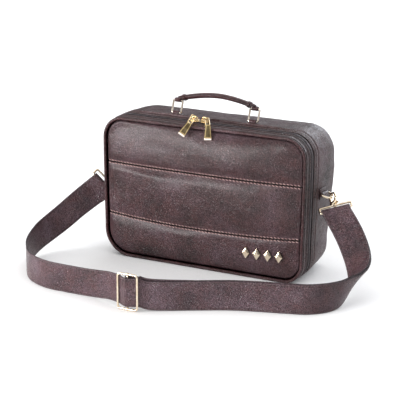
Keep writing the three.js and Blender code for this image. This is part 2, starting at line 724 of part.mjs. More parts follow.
function handleTab(x) {
  const patchFront = HANDLE_Y - loopHeight(HANDLE_WIRE);
  const tab = leatherLoop(RING_STRAIGHT, HANDLE_TAB_PATCH, 2 * loopHeight(HANDLE_WIRE), HANDLE_WIRE);
  const patch = new THREE.BoxGeometry(HANDLE_TAB_PATCH, HANDLE_TAB_DEPTH, TAB_LEATHER);
  patch.translate(0, patchFront + HANDLE_TAB_DEPTH / 2 - HANDLE_Y, TAB_LEATHER / 2);
  return fromSolid(joined(tab, patch)).translate(x, HANDLE_Y, TAB_FOOT);
}

function handleRing(x) {
  const loop = wire(roundedRectangle(HANDLE_RING_WIDTH, HANDLE_RING_HEIGHT, HANDLE_RING_CORNER, 3), HANDLE_WIRE, 7);
  return leaned(placed(loop, vec(x, HANDLE_Y, HANDLE_AXIS_Z + HANDLE_RING_HEIGHT / 2), vec(1, 0, 0), vec(0, 0, 1)));
}

// Section of the grip from its end to its middle: along and the sizes are shares of half the span,
// GRIP_WIDTH and GRIP_HEIGHT.
const GRIP = [
  { along: 0.99, wide: 0.70, tall: 0.92 },
  { along: 0.93, wide: 0.78, tall: 0.96 },
  { along: 0.885, wide: 0.82, tall: 0.96 },
  { along: 0.88, wide: 1.06, tall: 1.24 },
  { along: 0.815, wide: 1.08, tall: 1.26 },
  { along: 0.81, wide: 0.90, tall: 0.94 },
  { along: 0.60, wide: 0.97, tall: 0.98 },
  { along: 0.30, wide: 1.00, tall: 1.00 },
];

function handleGrip() {
  const half = HANDLE_SPAN / 2;
  const rows = [...GRIP, { along: 0, wide: 1, tall: 1 }, ...GRIP.map((r) => ({ ...r, along: -r.along })).reverse()];
  const sides = 10;
  const barrel = HANDLE_WIRE + GAP + TAB_LEATHER;
  const foot = RING_TOP_Z + barrel * 0.55;
  const rings = rows.map(({ along, wide, tall }) => {
    const x = HANDLE_X + along * half;
    const z = foot + HANDLE_RISE * (1 - Math.abs(along) ** HANDLE_ROUND);
    const slope = (-HANDLE_RISE * HANDLE_ROUND * Math.sign(along) * Math.abs(along) ** (HANDLE_ROUND - 1)) / half;
    const normal = vec(-slope, 0, 1).normalize();
    return Array.from({ length: sides }, (_, j) => {
      const angle = (2 * Math.PI * j) / sides;
      const up = (tall * GRIP_HEIGHT * Math.sin(angle)) / 2;
      const side = (wide * GRIP_WIDTH * Math.cos(angle) * (1 - 0.12 * Math.sin(angle))) / 2;
      return vec(x + normal.x * up, HANDLE_Y + side, z + normal.z * up);
    });
  });
  let body = solid(loft(rings));
  for (const sign of [-1, 1]) {
    const centre = vec(HANDLE_X + sign * half, HANDLE_Y, RING_TOP_Z);
    body = body.add(solid(cylinder(barrel, RING_STRAIGHT, 12, centre, vec(1, 0, 0))));
    body = body.subtract(solid(cylinder(HANDLE_WIRE + GAP, HANDLE_RING_WIDTH * 2, 12, centre, vec(1, 0, 0))));
    const clear = new THREE.BoxGeometry(HANDLE_WIRE * 2 + 2 * GAP, GRIP_WIDTH * 2, HANDLE_RING_HEIGHT);
    for (const leg of [-1, 1]) {
      const x = HANDLE_X + sign * half + (leg * HANDLE_RING_WIDTH) / 2;
      const z = RING_TOP_Z - HANDLE_RING_HEIGHT / 2 + HANDLE_WIRE + GAP;
      body = body.subtract(solid(clear.clone().translate(x, HANDLE_Y, z)));
    }
  }
  return leaned(fromSolid(body));
}

// Side rings, snap hooks and strap rings

// Everything on one side hangs from the bar of its D-ring: where it is, where the D points, where the hook
// points and how the strap ring's bars lie. sign is 1 on the right.
function sideFrame(sign, drop, hookDirection, barDirection) {
  const face = sideReach(sign, SIDE_RING_Y, SIDE_RING_Z);
  const bar = vec(face + sign * (GAP + loopHeight(D_WIRE)), SIDE_RING_Y, SIDE_RING_Z);
  const dDown = vec(sign * Math.cos(radians(drop)), 0, -Math.sin(radians(drop)));
  const apex = bar.clone().addScaledVector(dDown, D_LEG + D_BAR / 2);
  const down = hookDirection.clone().normalize();
  const across = barDirection.clone().addScaledVector(down, -barDirection.dot(down)).normalize();
  const through = vec(0, 1, 0).addScaledVector(down, -down.y).normalize();
  const slack = HOOK_RADIUS - (HOOK_WIRE + D_WIRE + GAP + HOOK_PLAY) / through.y;
  const eye = apex.clone().addScaledVector(down, slack);
  const hub = eye.clone().addScaledVector(down, HOOK_LOOP + HOOK_BASE + 3);
  const seat = hub.clone().addScaledVector(down, STRAP_RING_HEIGHT);
  return { sign, face, bar, dDown, down, across, through, eye, hub, seat };
}

const LEFT = sideFrame(-1, D_LEFT_DROP, vec(-0.43, -0.66, -0.62), vec(-0.54, -0.15, 0.83));
const RIGHT = sideFrame(1, D_RIGHT_DROP, vec(0.517, -0.738, -0.43), vec(0.80, 0.52, 0.30));

function sideTab({ sign, face }) {
  const tab = leatherLoop(D_BAR - 2 * D_WIRE - 2 * GAP, SIDE_PATCH_WIDTH, SIDE_PATCH_LENGTH, D_WIRE);
  const origin = vec(face + sign * GAP, SIDE_RING_Y, SIDE_RING_Z);
  return placed(tab, origin, vec(0, 1, 0), vec(0, 0, sign));
}

function dRing({ bar, dDown }) {
  const half = D_BAR / 2;
  const points = [new THREE.Vector2(-half + 1, 0), new THREE.Vector2(half - 1, 0), new THREE.Vector2(half, 1)];
  for (let i = 0; i <= 8; i += 1) {
    const angle = (Math.PI * i) / 8;
    points.push(new THREE.Vector2(half * Math.cos(angle), D_LEG + half * Math.sin(angle)));
  }
  points.push(new THREE.Vector2(-half, 1));
  return placed(wire(points, D_WIRE, 7), bar, vec(0, 1, 0), dDown);
}

// In the hook's own axes X runs across its loop, Y away from the case along the hook and Z through the loop.
const CHEEK = 1.5;
const GATE_PIVOT = HOOK_LOOP - 0.4;
const NOSE_END = 1.6;
function inHookAxes(geometry, { eye, down, through }) {
  const side = down.clone().cross(through);
  return placed(geometry, eye, side, down);
}

function hookBody(frame) {
  const line = [];
  line.push(new THREE.Vector2(-HOOK_RADIUS, HOOK_LOOP + 1));
  line.push(new THREE.Vector2(-HOOK_RADIUS, HOOK_LOOP / 2));
  for (let i = 0; i <= 8; i += 1) {
    const angle = Math.PI + (Math.PI * i) / 8;
    line.push(new THREE.Vector2(HOOK_RADIUS * Math.cos(angle), HOOK_RADIUS * Math.sin(angle)));
  }
  line.push(new THREE.Vector2(HOOK_RADIUS, NOSE_END));
  const crown = wire(line, HOOK_WIRE, 7, false);
  const width = 2 * (HOOK_RADIUS + HOOK_WIRE);
  const thick = 2 * (GATE_RADIUS + GAP + CHEEK);
  const y = HOOK_LOOP + HOOK_BASE / 2;
  const base = new THREE.BoxGeometry(width, HOOK_BASE, thick).translate(0, y, 0);
  const cheeks = new THREE.BoxGeometry(2 * HOOK_WIRE, 3, thick).translate(HOOK_RADIUS, HOOK_LOOP - 1, 0);
  const slot = new THREE.BoxGeometry(4 * HOOK_WIRE, 5.6, 2 * (GATE_RADIUS + GAP));
  slot.translate(HOOK_RADIUS, GATE_PIVOT - 0.2, 0);
  const pin = cylinder(0.6, thick - 0.4, 8, vec(HOOK_RADIUS, GATE_PIVOT, 0), vec(0, 0, 1));
  const reach = HOOK_LOOP + HOOK_BASE;
  const shaft = cylinder(STUD_SHAFT, 7, 10, vec(0, reach + 3, 0), vec(0, 1, 0));
  const collar = cylinder(STUD_HEAD, 0.9, 10, vec(0, reach + 0.2, 0), vec(0, 1, 0));
  const head = cylinder(STUD_HEAD, 1.4, 10, vec(0, reach + 3 + HUB_LENGTH / 2 + GAP + 0.7, 0), vec(0, 1, 0));
  let body = joined(crown, base, collar, cheeks).subtract(solid(slot));
  body = body.add(solid(pin)).add(solid(shaft)).add(solid(head));
  return inHookAxes(fromSolid(body), frame);
}

function hookGate(frame) {
  const bore = 0.6 + GAP;
  const length = GATE_PIVOT - NOSE_END - GAP;
  const eye = cylinder(bore + 1, 2 * GATE_RADIUS, 10, vec(HOOK_RADIUS, GATE_PIVOT, 0), vec(0, 0, 1));
  const bar = new THREE.BoxGeometry(2 * GATE_RADIUS, length, 2 * GATE_RADIUS);
  bar.translate(HOOK_RADIUS, GATE_PIVOT - length / 2, 0);
  const thumb = new THREE.BoxGeometry(1.4, 3.4, 2 * GATE_RADIUS).translate(HOOK_RADIUS + GATE_RADIUS + 0.5, GATE_PIVOT - 5, 0);
  const hole = cylinder(bore, 10, 10, vec(HOOK_RADIUS, GATE_PIVOT, 0), vec(0, 0, 1));
  const body = joined(eye, bar, thumb).subtract(solid(hole));
  return inHookAxes(fromSolid(body), frame);
}

const HUB_LENGTH = 4;
const RING_LENGTH = STRAP_WIDTH + 2 * STRAP_RING_WIRE + 2;
function strapRing({ hub, down, across }) {
  const loop = wire(roundedRectangle(RING_LENGTH, STRAP_RING_HEIGHT, 3, 3), STRAP_RING_WIRE, 7);
  loop.translate(0, STRAP_RING_HEIGHT / 2, 0);
  const block = cylinder(STUD_HEAD + 0.7, HUB_LENGTH, 12, vec(0, 0, 0), vec(0, 1, 0));
  const bore = cylinder(STUD_SHAFT + GAP, 3 * HUB_LENGTH, 12, vec(0, 0, 0), vec(0, 1, 0));
  const body = joined(loop, block).subtract(solid(bore));
  return placed(fromSolid(body), hub, across, down);
}

// Strap

// Station of the strap: its middle, the direction across its width and the way its outer face looks.
const station = (centre, across, out) => ({ centre, across: across.clone().normalize(), out: out.clone().normalize() });

function runRows(rows) {
  return rows.map(({ x, y, z, tipX, tipY }) => {
    const across = vec(tipX, tipY, 1).normalize();
    const sink = Math.hypot(across.x, across.y) * (STRAP_THICKNESS / 2);
    const low = vec(x * WIDTH, y * DEPTH, z * HEIGHT + sink);
    return { low, high: low.clone().addScaledVector(across, STRAP_WIDTH) };
  });
}

// Smooth run through rows of lower and upper edges.
function run(rows, steps) {
  const low = new THREE.CatmullRomCurve3(rows.map((r) => r.low), false, 'centripetal');
  const high = new THREE.CatmullRomCurve3(rows.map((r) => r.high), false, 'centripetal');
  const stations = [];
  for (let i = 0; i <= steps; i += 1) {
    const t = i / steps;
    const a = low.getPoint(t);
    const b = high.getPoint(t);
    const along = low.getTangent(t).add(high.getTangent(t)).normalize();
    const across = b.clone().sub(a).normalize();
    const out = along.clone().cross(across);
    stations.push(station(a.add(b).multiplyScalar(0.5), across, out));
  }
  return stations;
}

// The strap bends round a bar: centre and direction of the bar, first outward direction and turn in degrees.
function bend(centre, across, out, turn, radius, steps) {
  const stations = [];
  for (let i = 0; i <= steps; i += 1) {
    const facing = out.clone().applyAxisAngle(across, radians((turn * i) / steps));
    stations.push(station(centre.clone().addScaledVector(facing, radius), across, facing));
  }
  return stations;
}

const RING_BEND = STRAP_RING_WIRE + 2 * GAP + STRAP_THICKNESS / 2;
const BAR_BEND = BUCKLE_BAR_WIRE + GAP + STRAP_THICKNESS / 2;
const LAYERS = STRAP_THICKNESS + LAYER_GAP;

// Way the strap's outer face looks where it leaves a ring, and the row at which it does so.
function ringSeat({ seat, across, down }, flip) {
  const width = across.clone();
  const along = down.clone().multiplyScalar(flip);
  const out = along.clone().cross(width).normalize();
  const centre = seat.clone().addScaledVector(out, RING_BEND);
  const low = centre.clone().addScaledVector(width, -STRAP_WIDTH / 2);
  return { out, width, row: { low, high: low.clone().addScaledVector(width, STRAP_WIDTH) } };
}

function strap() {
  const upright = vec(0, 0, 1);
  const left = ringSeat(LEFT, 1);
  const right = ringSeat(RIGHT, -1);
  const buckleRow = (dx, dy, lift = 0) => {
    const low = vec(BUCKLE_X + dx, BUCKLE_Y + dy, BUCKLE_STRAP_Z + lift);
    return { low, high: low.clone().addScaledVector(upright, STRAP_WIDTH) };
  };
  const half = BUCKLE_LENGTH / 2;
  const behind = BUCKLE_WIRE + 3 * GAP + STRAP_THICKNESS / 2;
  const before = BAR_BEND + STRAP_THICKNESS + GAP;
  const through = BUCKLE_RUN.map(({ along, out, lift }) => buckleRow(along * half, out > 0 ? out * behind : out * before, lift));
  const leftRows = [left.row, ...runRows(STRAP_LEFT), ...through.slice(0, 3)];
  const rightRows = [...through.slice(2), ...runRows(STRAP_RIGHT), right.row];
  const leftRun = run(leftRows, 44);
  const rightRun = run(rightRows, 52);
  const outer = [...leftRun, ...rightRun.slice(1)];
  const leftBend = bend(LEFT.seat, left.width, left.out.clone().negate(), 180, RING_BEND, 6);
  const rightBend = bend(RIGHT.seat, right.width, right.out, 180, RING_BEND, 6);
  // The folded end lies along the inner face of the run that leaves the left ring.
  const fold = [];
  let walked = 0;
  for (let i = 1; walked < FOLD_LENGTH && i < leftRun.length; i += 1) {
    walked += leftRun[i].centre.distanceTo(leftRun[i - 1].centre);
    const apart = Math.max(LAYERS, lerp(2 * RING_BEND, LAYERS, walked / FOLD_LENGTH));
    const s = leftRun[i];
    fold.push(station(s.centre.clone().addScaledVector(s.out, -apart), s.across, s.out.clone().negate()));
  }
  // The second layer follows the run back from the right ring to the buckle's bar.
  const back = [];
  const wireAt = BUCKLE_X + half;
  const reach = rightRun.length - 1;
  for (let i = reach - 1; i > 0; i -= 1) {
    const s = rightRun[i];
    const share = 1 - i / reach;
    if (s.centre.x < wireAt + 2) break;
    const apart = LAYERS + (2 * RING_BEND - LAYERS) * Math.max(0, 1 - share / 0.12)
      + LENS * Math.exp(-(((share - LENS_AT) / LENS_REACH) ** 2));
    const raise = LAYER_STEP * Math.max(0, 1 - (s.centre.x - wireAt) / LAYER_STEP_LENGTH);
    const centre = s.centre.clone().addScaledVector(s.out, -apart).addScaledVector(s.across, raise);
    back.push(station(centre, s.across, s.out.clone().negate()));
  }
  const innerZ = BUCKLE_STRAP_Z + LAYER_STEP + STRAP_WIDTH / 2;
  const bar = vec(BUCKLE_X, BUCKLE_Y, innerZ);
  const wireGap = behind + LAYERS;
  const toBar = [vec(wireAt, BUCKLE_Y + wireGap, 0), vec(BUCKLE_X + half * 0.5, BUCKLE_Y + (wireGap + BAR_BEND) * 0.55, 0)]
    .map((low) => station(low.setZ(innerZ), upright, vec(0, 1, 0)));
  const hold = bend(bar, upright, vec(0, 1, 0), 205, BAR_BEND, 7);
  const path = [...fold.reverse(), ...leftBend, ...outer.slice(1, -1), ...rightBend, ...back, ...toBar, ...hold];
  return ribbon(path);
}

const LENS = 3.2;
const LENS_AT = 0.68;
const LENS_REACH = 0.12;

// Leather strip through the stations, lifted wherever it would dip into the floor.
function ribbon(path) {
  const rings = path.map(({ centre, across, out }) => {
    const w = STRAP_WIDTH / 2;
    const t = STRAP_THICKNESS / 2;
    const ring = [[-w, -t], [w, -t], [w, t], [-w, t]].map(([a, b]) => centre.clone()
      .addScaledVector(across, a).addScaledVector(out, b));
    const lift = Math.max(0, -Math.min(...ring.map((p) => p.z)));
    return ring.map((p) => p.setZ(p.z + lift));
  });
  return loft(rings);
}

// Buckle

const BUCKLE_TALL = STRAP_WIDTH + 2 * (BUCKLE_MARGIN + BUCKLE_WIRE);
const BUCKLE_MIDDLE = BUCKLE_TALL / 2 + BUCKLE_WIRE + BUCKLE_COLLAR;
const BUCKLE_STRAP_Z = BUCKLE_MIDDLE - BUCKLE_TALL / 2 + BUCKLE_WIRE + BUCKLE_COLLAR + GAP;
function buckle() {
  const loop = wire(roundedRectangle(BUCKLE_LENGTH, BUCKLE_TALL, BUCKLE_CORNER, 4), BUCKLE_WIRE, 7);
  const frame = placed(loop, vec(0, 0, 0), vec(1, 0, 0), vec(0, 0, 1));
  const bar = cylinder(BUCKLE_BAR_WIRE, BUCKLE_TALL, 8, vec(0, 0, 0), vec(0, 0, 1));
  const collars = [-1, 1].map((sign) => cylinder(BUCKLE_WIRE + BUCKLE_COLLAR, 3 * BUCKLE_BAR_WIRE, 10,
    vec(0, 0, (sign * BUCKLE_TALL) / 2), vec(1, 0, 0)));
  return fromSolid(joined(frame, bar, ...collars)).translate(BUCKLE_X, BUCKLE_Y, BUCKLE_MIDDLE);
}

// Assembly

const zipFrom = ZIP_MIDDLE - TAPE_WIDTH / 2;
const zipTo = ZIP_MIDDLE + TAPE_WIDTH / 2;
put('rear_gusset', rearGusset(), LEATHER);
put('back_panel', backPanel(), LEATHER);
put('zip_band_rear', strip(zipTo + GAP, BAND_BACK - GAP / 2, 0), DARK_LEATHER);
put('zip_tape', zipTape(zipFrom, zipTo), TAPE);
put('zip_band_front', strip(FRONT - PIPING_AHEAD + PIPING_RADIUS + GAP, zipFrom - GAP, 0), DARK_LEATHER);
put('front_piping', piping(), DARK_LEATHER);
put('front_panel_upper', panel((x) => upperSeam(x) + GAP / 2, outlineTop), LEATHER);
put('front_panel_middle', panel((x) => lowerSeam(x) + GAP / 2, (x) => upperSeam(x) - GAP / 2), LEATHER);
put('front_panel_lower', panel(outlineFoot, (x) => lowerSeam(x) - GAP / 2), LEATHER);
put('top_lip', topLip(), DARK_LEATHER);

for (let i = 0; i < STUD_COUNT; i += 1) {
  const x = STUD_ROW_X + (i - (STUD_COUNT - 1) / 2) * STUD_PITCH;
  put(`ornament_stud_${i + 1}`, lozenge(x), GOLD);
}

const PULLS = [
  { name: 'left', side: -1, shift: 3.2, lean: -37 },
  { name: 'right', side: 1, shift: 18.4, lean: 0 },
];
for (const pull of PULLS) {
  const frame = pullFrame(pull);
  put(`zip_slider_${pull.name}`, slider(SLIDER_MIDDLE + (pull.side * SLIDER_PITCH) / 2, pull.side), GOLD);
  put(`zip_link_${pull.name}`, zipLink(frame), GOLD);
  put(`zip_pull_${pull.name}`, zipPull(frame), GOLD);
}

for (const [name, sign] of [['left', -1], ['right', 1]]) {
  put(`handle_tab_${name}`, handleTab(HANDLE_X + (sign * HANDLE_SPAN) / 2), DARK_LEATHER);
  put(`handle_ring_${name}`, handleRing(HANDLE_X + (sign * HANDLE_SPAN) / 2), GOLD);
}
put('handle_grip', handleGrip(), DARK_LEATHER);

for (const [name, frame] of [['left', LEFT], ['right', RIGHT]]) {
  put(`side_tab_${name}`, sideTab(frame), DARK_LEATHER);
  put(`d_ring_${name}`, dRing(frame), GOLD);
  put(`snap_hook_${name}`, hookBody(frame), GOLD);
  put(`hook_gate_${name}`, hookGate(frame), GOLD);
  put(`strap_ring_${name}`, strapRing(frame), GOLD);
}

put('shoulder_strap', strap(), LEATHER);
put('strap_buckle', buckle(), GOLD);

export default bag;
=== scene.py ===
"""Looks of a zip-round leather case with a carrying handle and a shoulder strap.

Millimetres inside the functions and metres in the scene, +Z up and the front towards -Y, as in the part.
Every soft piece is rebuilt at full detail in the space of its plain solid, and so is the metal.
"""

import math

import bmesh
import bpy
import numpy as np
from mathutils import Matrix, Vector, noise


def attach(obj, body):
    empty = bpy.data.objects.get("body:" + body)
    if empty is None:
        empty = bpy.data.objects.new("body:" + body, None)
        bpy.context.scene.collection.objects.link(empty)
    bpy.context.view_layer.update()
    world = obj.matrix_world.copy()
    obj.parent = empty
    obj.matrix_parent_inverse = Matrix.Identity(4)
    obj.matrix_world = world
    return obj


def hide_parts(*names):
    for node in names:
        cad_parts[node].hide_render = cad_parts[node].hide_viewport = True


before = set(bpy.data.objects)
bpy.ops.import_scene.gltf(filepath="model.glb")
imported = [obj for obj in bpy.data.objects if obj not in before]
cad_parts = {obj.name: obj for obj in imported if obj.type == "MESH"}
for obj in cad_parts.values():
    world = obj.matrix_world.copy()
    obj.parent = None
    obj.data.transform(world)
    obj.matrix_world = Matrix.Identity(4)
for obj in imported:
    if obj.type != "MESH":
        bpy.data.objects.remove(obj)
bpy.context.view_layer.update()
MM = 0.001

# Named sizes, the same as in the part's source
WIDTH = 342
HEIGHT = 223
DEPTH = 113
WALL = 3
GAP = 0.3
REAR_EDGE_RADIUS = 14
BAND_DEPTH = 39.5
PIPING_RADIUS = 2.3
PIPING_AHEAD = 0.6

TAPE_WIDTH = 10.4
TAPE_WALL = 1.6
TAPE_DROP = 1.2
TEETH_WIDTH = 5
TEETH_RISE = 1.1
SLIDER_LENGTH = 13
SLIDER_WIDTH = 9.5
SLIDER_HEIGHT = 3.6
SLIDER_PITCH = 16.5
SLIDER_MIDDLE = -13.8
BRIDGE_RISE = 4.8
BRIDGE_WIRE = 1.05
BRIDGE_SINK = 0.4
LINK_WIRE = 0.9
LINK_WIDTH = 6
LINK_CORNER = 1.6
PULL_LENGTH = 20
PULL_ABOVE = 3.4
PULL_WIDTH = 11
PULL_THICKNESS = 1.8
PULL_HEIGHT = 3
BARREL_WALL = 1
LINK_TAIL = 1.6

FRONT_BULGE = 7.5
PANEL_PUFF = 4
EDGE_TUCK = 1.5
UPPER_SEAM = 149
LOWER_SEAM = 68
LOWER_SEAM_SAG = 5

LIP_HEIGHT = 2.2
LIP_THICKNESS = 2.2
LIP_AHEAD = 1.3
LIP_LEFT = -138
LIP_RIGHT = 128

HANDLE_X = -1.5
HANDLE_SPAN = 129
HANDLE_LEAN = 20
HANDLE_WIRE = 1.6
HANDLE_RING_WIDTH = 15.6
HANDLE_RING_HEIGHT = 20
HANDLE_RING_CORNER = 2.6
HANDLE_RISE = 10.5
HANDLE_ROUND = 1.8
GRIP_WIDTH = 13.5
GRIP_HEIGHT = 8
HANDLE_TAB_PATCH = 22
HANDLE_TAB_DEPTH = 10

SIDE_RING_Y = 0
SIDE_RING_Z = 128
D_WIRE = 1.5
D_BAR = 23
D_LEG = 2.5
D_LEFT_DROP = 60
D_RIGHT_DROP = 17
SIDE_PATCH_LENGTH = 17
SIDE_PATCH_WIDTH = 22
TAB_LEATHER = 1.6
HOOK_WIRE = 1.65
HOOK_RADIUS = 5.6
HOOK_LOOP = 11.5
HOOK_BASE = 5.5
HOOK_PLAY = 1.8
GATE_RADIUS = 1.15
STUD_SHAFT = 1.05
STUD_HEAD = 2
CHEEK = 1.5
NOSE_END = 1.6
HUB_LENGTH = 4
HUB_DROP = 3
HUB_WALL = 0.7

STRAP_WIDTH = 42
STRAP_THICKNESS = 2.4
STRAP_RING_WIRE = 1.75
STRAP_RING_HEIGHT = 10
LAYER_GAP = 0.5
FOLD_LENGTH = 17
BUCKLE_X = -0.0181 * WIDTH
BUCKLE_Y = -2.3628 * DEPTH
BUCKLE_LENGTH = 31
BUCKLE_WIRE = 1.6
BUCKLE_BAR_WIRE = 1.2
BUCKLE_COLLAR = 0.6
LAYER_STEP = 4
LAYER_STEP_LENGTH = 75
BUCKLE_MARGIN = 3
BUCKLE_CORNER = 4
LENS = 3.2
LENS_AT = 0.68
LENS_REACH = 0.12

FRONT = -DEPTH / 2
BAND_BACK = FRONT + BAND_DEPTH


def columns(names, *rows):
    """A short table: a dict from each column's name to its values."""
    return dict(zip(names.split(), np.array(rows, float).T))


# Shape tables, the same as in the part's source
SECTIONS = columns(
    "depth half top top_radius foot_right foot_left",
    (0.00, 0.4950, 0.991, 0.150, 0.142, 0.190),
    (0.18, 0.4985, 0.998, 0.155, 0.145, 0.185),
    (0.35, 0.5000, 1.000, 0.160, 0.150, 0.180),
    (0.70, 0.5000, 0.998, 0.172, 0.155, 0.170),
    (1.00, 0.4950, 0.990, 0.180, 0.160, 0.165),
)
SIDE_FORM = columns(
    "height front rear",
    (0.00, -0.0065, -0.026),
    (0.22, -0.0050, -0.020),
    (0.50, -0.0020, -0.004),
    (0.72, 0.0000, 0.006),
    (1.00, 0.0000, 0.000),
)
DENTS = columns(
    "across up reach out",
    (-0.40, 0.57, 0.12, -0.018),
    (0.10, 0.76, 0.20, 0.012),
    (0.16, 0.50, 0.20, 0.014),
    (0.36, 0.44, 0.12, -0.014),
    (-0.12, 0.20, 0.22, 0.008),
)
STRAP_LEFT = columns(
    "x y z tip_x tip_y",
    (-0.634, -0.350, 0.222, -0.45, -0.38),
    (-0.684, -0.520, 0.138, -0.37, -0.32),
    (-0.722, -0.710, 0.076, -0.26, -0.20),
    (-0.742, -0.940, 0.034, -0.17, -0.06),
    (-0.737, -1.190, 0.006, -0.10, 0.01),
    (-0.704, -1.460, 0.000, -0.05, 0.02),
    (-0.650, -1.725, 0.000, -0.03, 0.03),
    (-0.585, -1.955, 0.000, -0.03, 0.04),
    (-0.509, -2.090, 0.000, -0.02, 0.04),
    (-0.440, -2.145, 0.000, 0.00, 0.03),
    (-0.370, -2.150, 0.000, 0.00, 0.01),
    (-0.297, -2.150, 0.000, 0.00, 0.00),
    (-0.238, -2.164, 0.004, 0.00, 0.00),
    (-0.182, -2.195, 0.013, 0.00, 0.00),
    (-0.125, -2.255, 0.028, 0.00, 0.00),
)
STRAP_RIGHT = columns(
    "x y z tip_x tip_y",
    (0.056, -2.262, 0.009, 0.00, 0.00),
    (0.119, -2.150, 0.002, 0.00, 0.02),
    (0.205, -1.995, 0.000, 0.00, 0.05),
    (0.350, -1.755, 0.000, 0.00, 0.07),
    (0.465, -1.630, 0.000, -0.02, 0.08),
    (0.560, -1.540, 0.000, -0.04, 0.10),
    (0.643, -1.450, 0.000, -0.06, 0.10),
    (0.692, -1.325, 0.000, -0.03, 0.07),
    (0.719, -1.190, 0.000, 0.04, 0.02),
    (0.730, -1.040, 0.002, 0.18, -0.03),
    (0.732, -0.885, 0.018, 0.34, -0.15),
    (0.728, -0.735, 0.040, 0.60, -0.22),
    (0.720, -0.610, 0.072, 0.88, -0.12),
    (0.706, -0.520, 0.112, 1.09, 0.12),
    (0.684, -0.445, 0.162, 1.25, 0.40),
    (0.654, -0.380, 0.230, 1.41, 0.67),
    (0.617, -0.325, 0.311, 1.50, 0.85),
)
GRIP = columns(
    "along wide tall",
    (0.00, 1.00, 1.00),
    (0.30, 1.00, 1.00),
    (0.60, 0.97, 0.98),
    (0.81, 0.90, 0.94),
    (0.815, 1.08, 1.26),
    (0.88, 1.06, 1.24),
    (0.885, 0.82, 0.96),
    (0.93, 0.78, 0.96),
    (0.99, 0.70, 0.92),
)
BUCKLE_RUN = columns(
    "along out lift",
    (-1.00, 1.0, 2.8),
    (-0.55, -0.2, 3.0),
    (0.00, -1.0, 2.6),
    (0.50, -0.2, 2.0),
    (1.00, 1.0, 1.8),
)


# Small tools

def vec(x, y, z):
    return np.array([x, y, z], float)


def unit(v):
    v = np.asarray(v, float)
    return v / np.linalg.norm(v, axis=-1, keepdims=True)


def smooth(t):
    t = np.clip(t, 0, 1)
    return t * t * (3 - 2 * t)


def circle(count):
    """Even angles once round."""
    return 2 * math.pi * np.arange(count) / count


def peak(distance, reach):
    """1 where the distance is 0, falling off smoothly over the reach."""
    return np.exp(-(distance / reach) ** 2)


def walk(line):
    """Length walked along a line at each of its points."""
    return np.concatenate([[0], np.cumsum(np.linalg.norm(np.diff(line, axis=0), axis=1))])


def sampled(values, walked, at):
    """Rows of values at places along a walked line."""
    return np.stack([np.interp(at, walked, values[:, k]) for k in range(3)], -1)


def between(table, key, column, at):
    """Value of a column at a place between the rows, with smooth joins."""
    k = table[key]
    v = table[column]
    at = np.asarray(at, float)
    i = np.clip(np.searchsorted(k, at, side="left") - 1, 0, len(k) - 2)
    return v[i] + (v[i + 1] - v[i]) * smooth((at - k[i]) / (k[i + 1] - k[i]))


def rough(points, scale, octaves=3, seed=0.0):
    """Smooth noise about zero at each point; scale is the size of its waves in millimetres."""
    flat = np.asarray(points, float).reshape(-1, 3) / scale + seed
    value = [noise.fractal(Vector(p), 1.0, 2.0, octaves) for p in flat]
    return np.array(value).reshape(np.shape(points)[:-1])


def placed(points, origin, x_axis, y_axis):
    """Points from their own axes to an origin with given directions of X and Y."""
    x = unit(x_axis)
    z = unit(np.cross(x, y_axis))
    y = np.cross(z, x)
    p = np.asarray(points, float)
    return np.asarray(origin, float) + p[..., :1] * x + p[..., 1:2] * y + p[..., 2:3] * z


def surface_normals(grid, wrap_u, wrap_v):
    """Unit normals of a grid of points."""
    def slope(axis, wrap):
        if wrap:
            return np.roll(grid, -1, axis) - np.roll(grid, 1, axis)
        return np.gradient(grid, axis=axis)

    n = np.cross(slope(0, wrap_u), slope(1, wrap_v))
    return n / np.maximum(np.linalg.norm(n, axis=-1, keepdims=True), 1e-9)


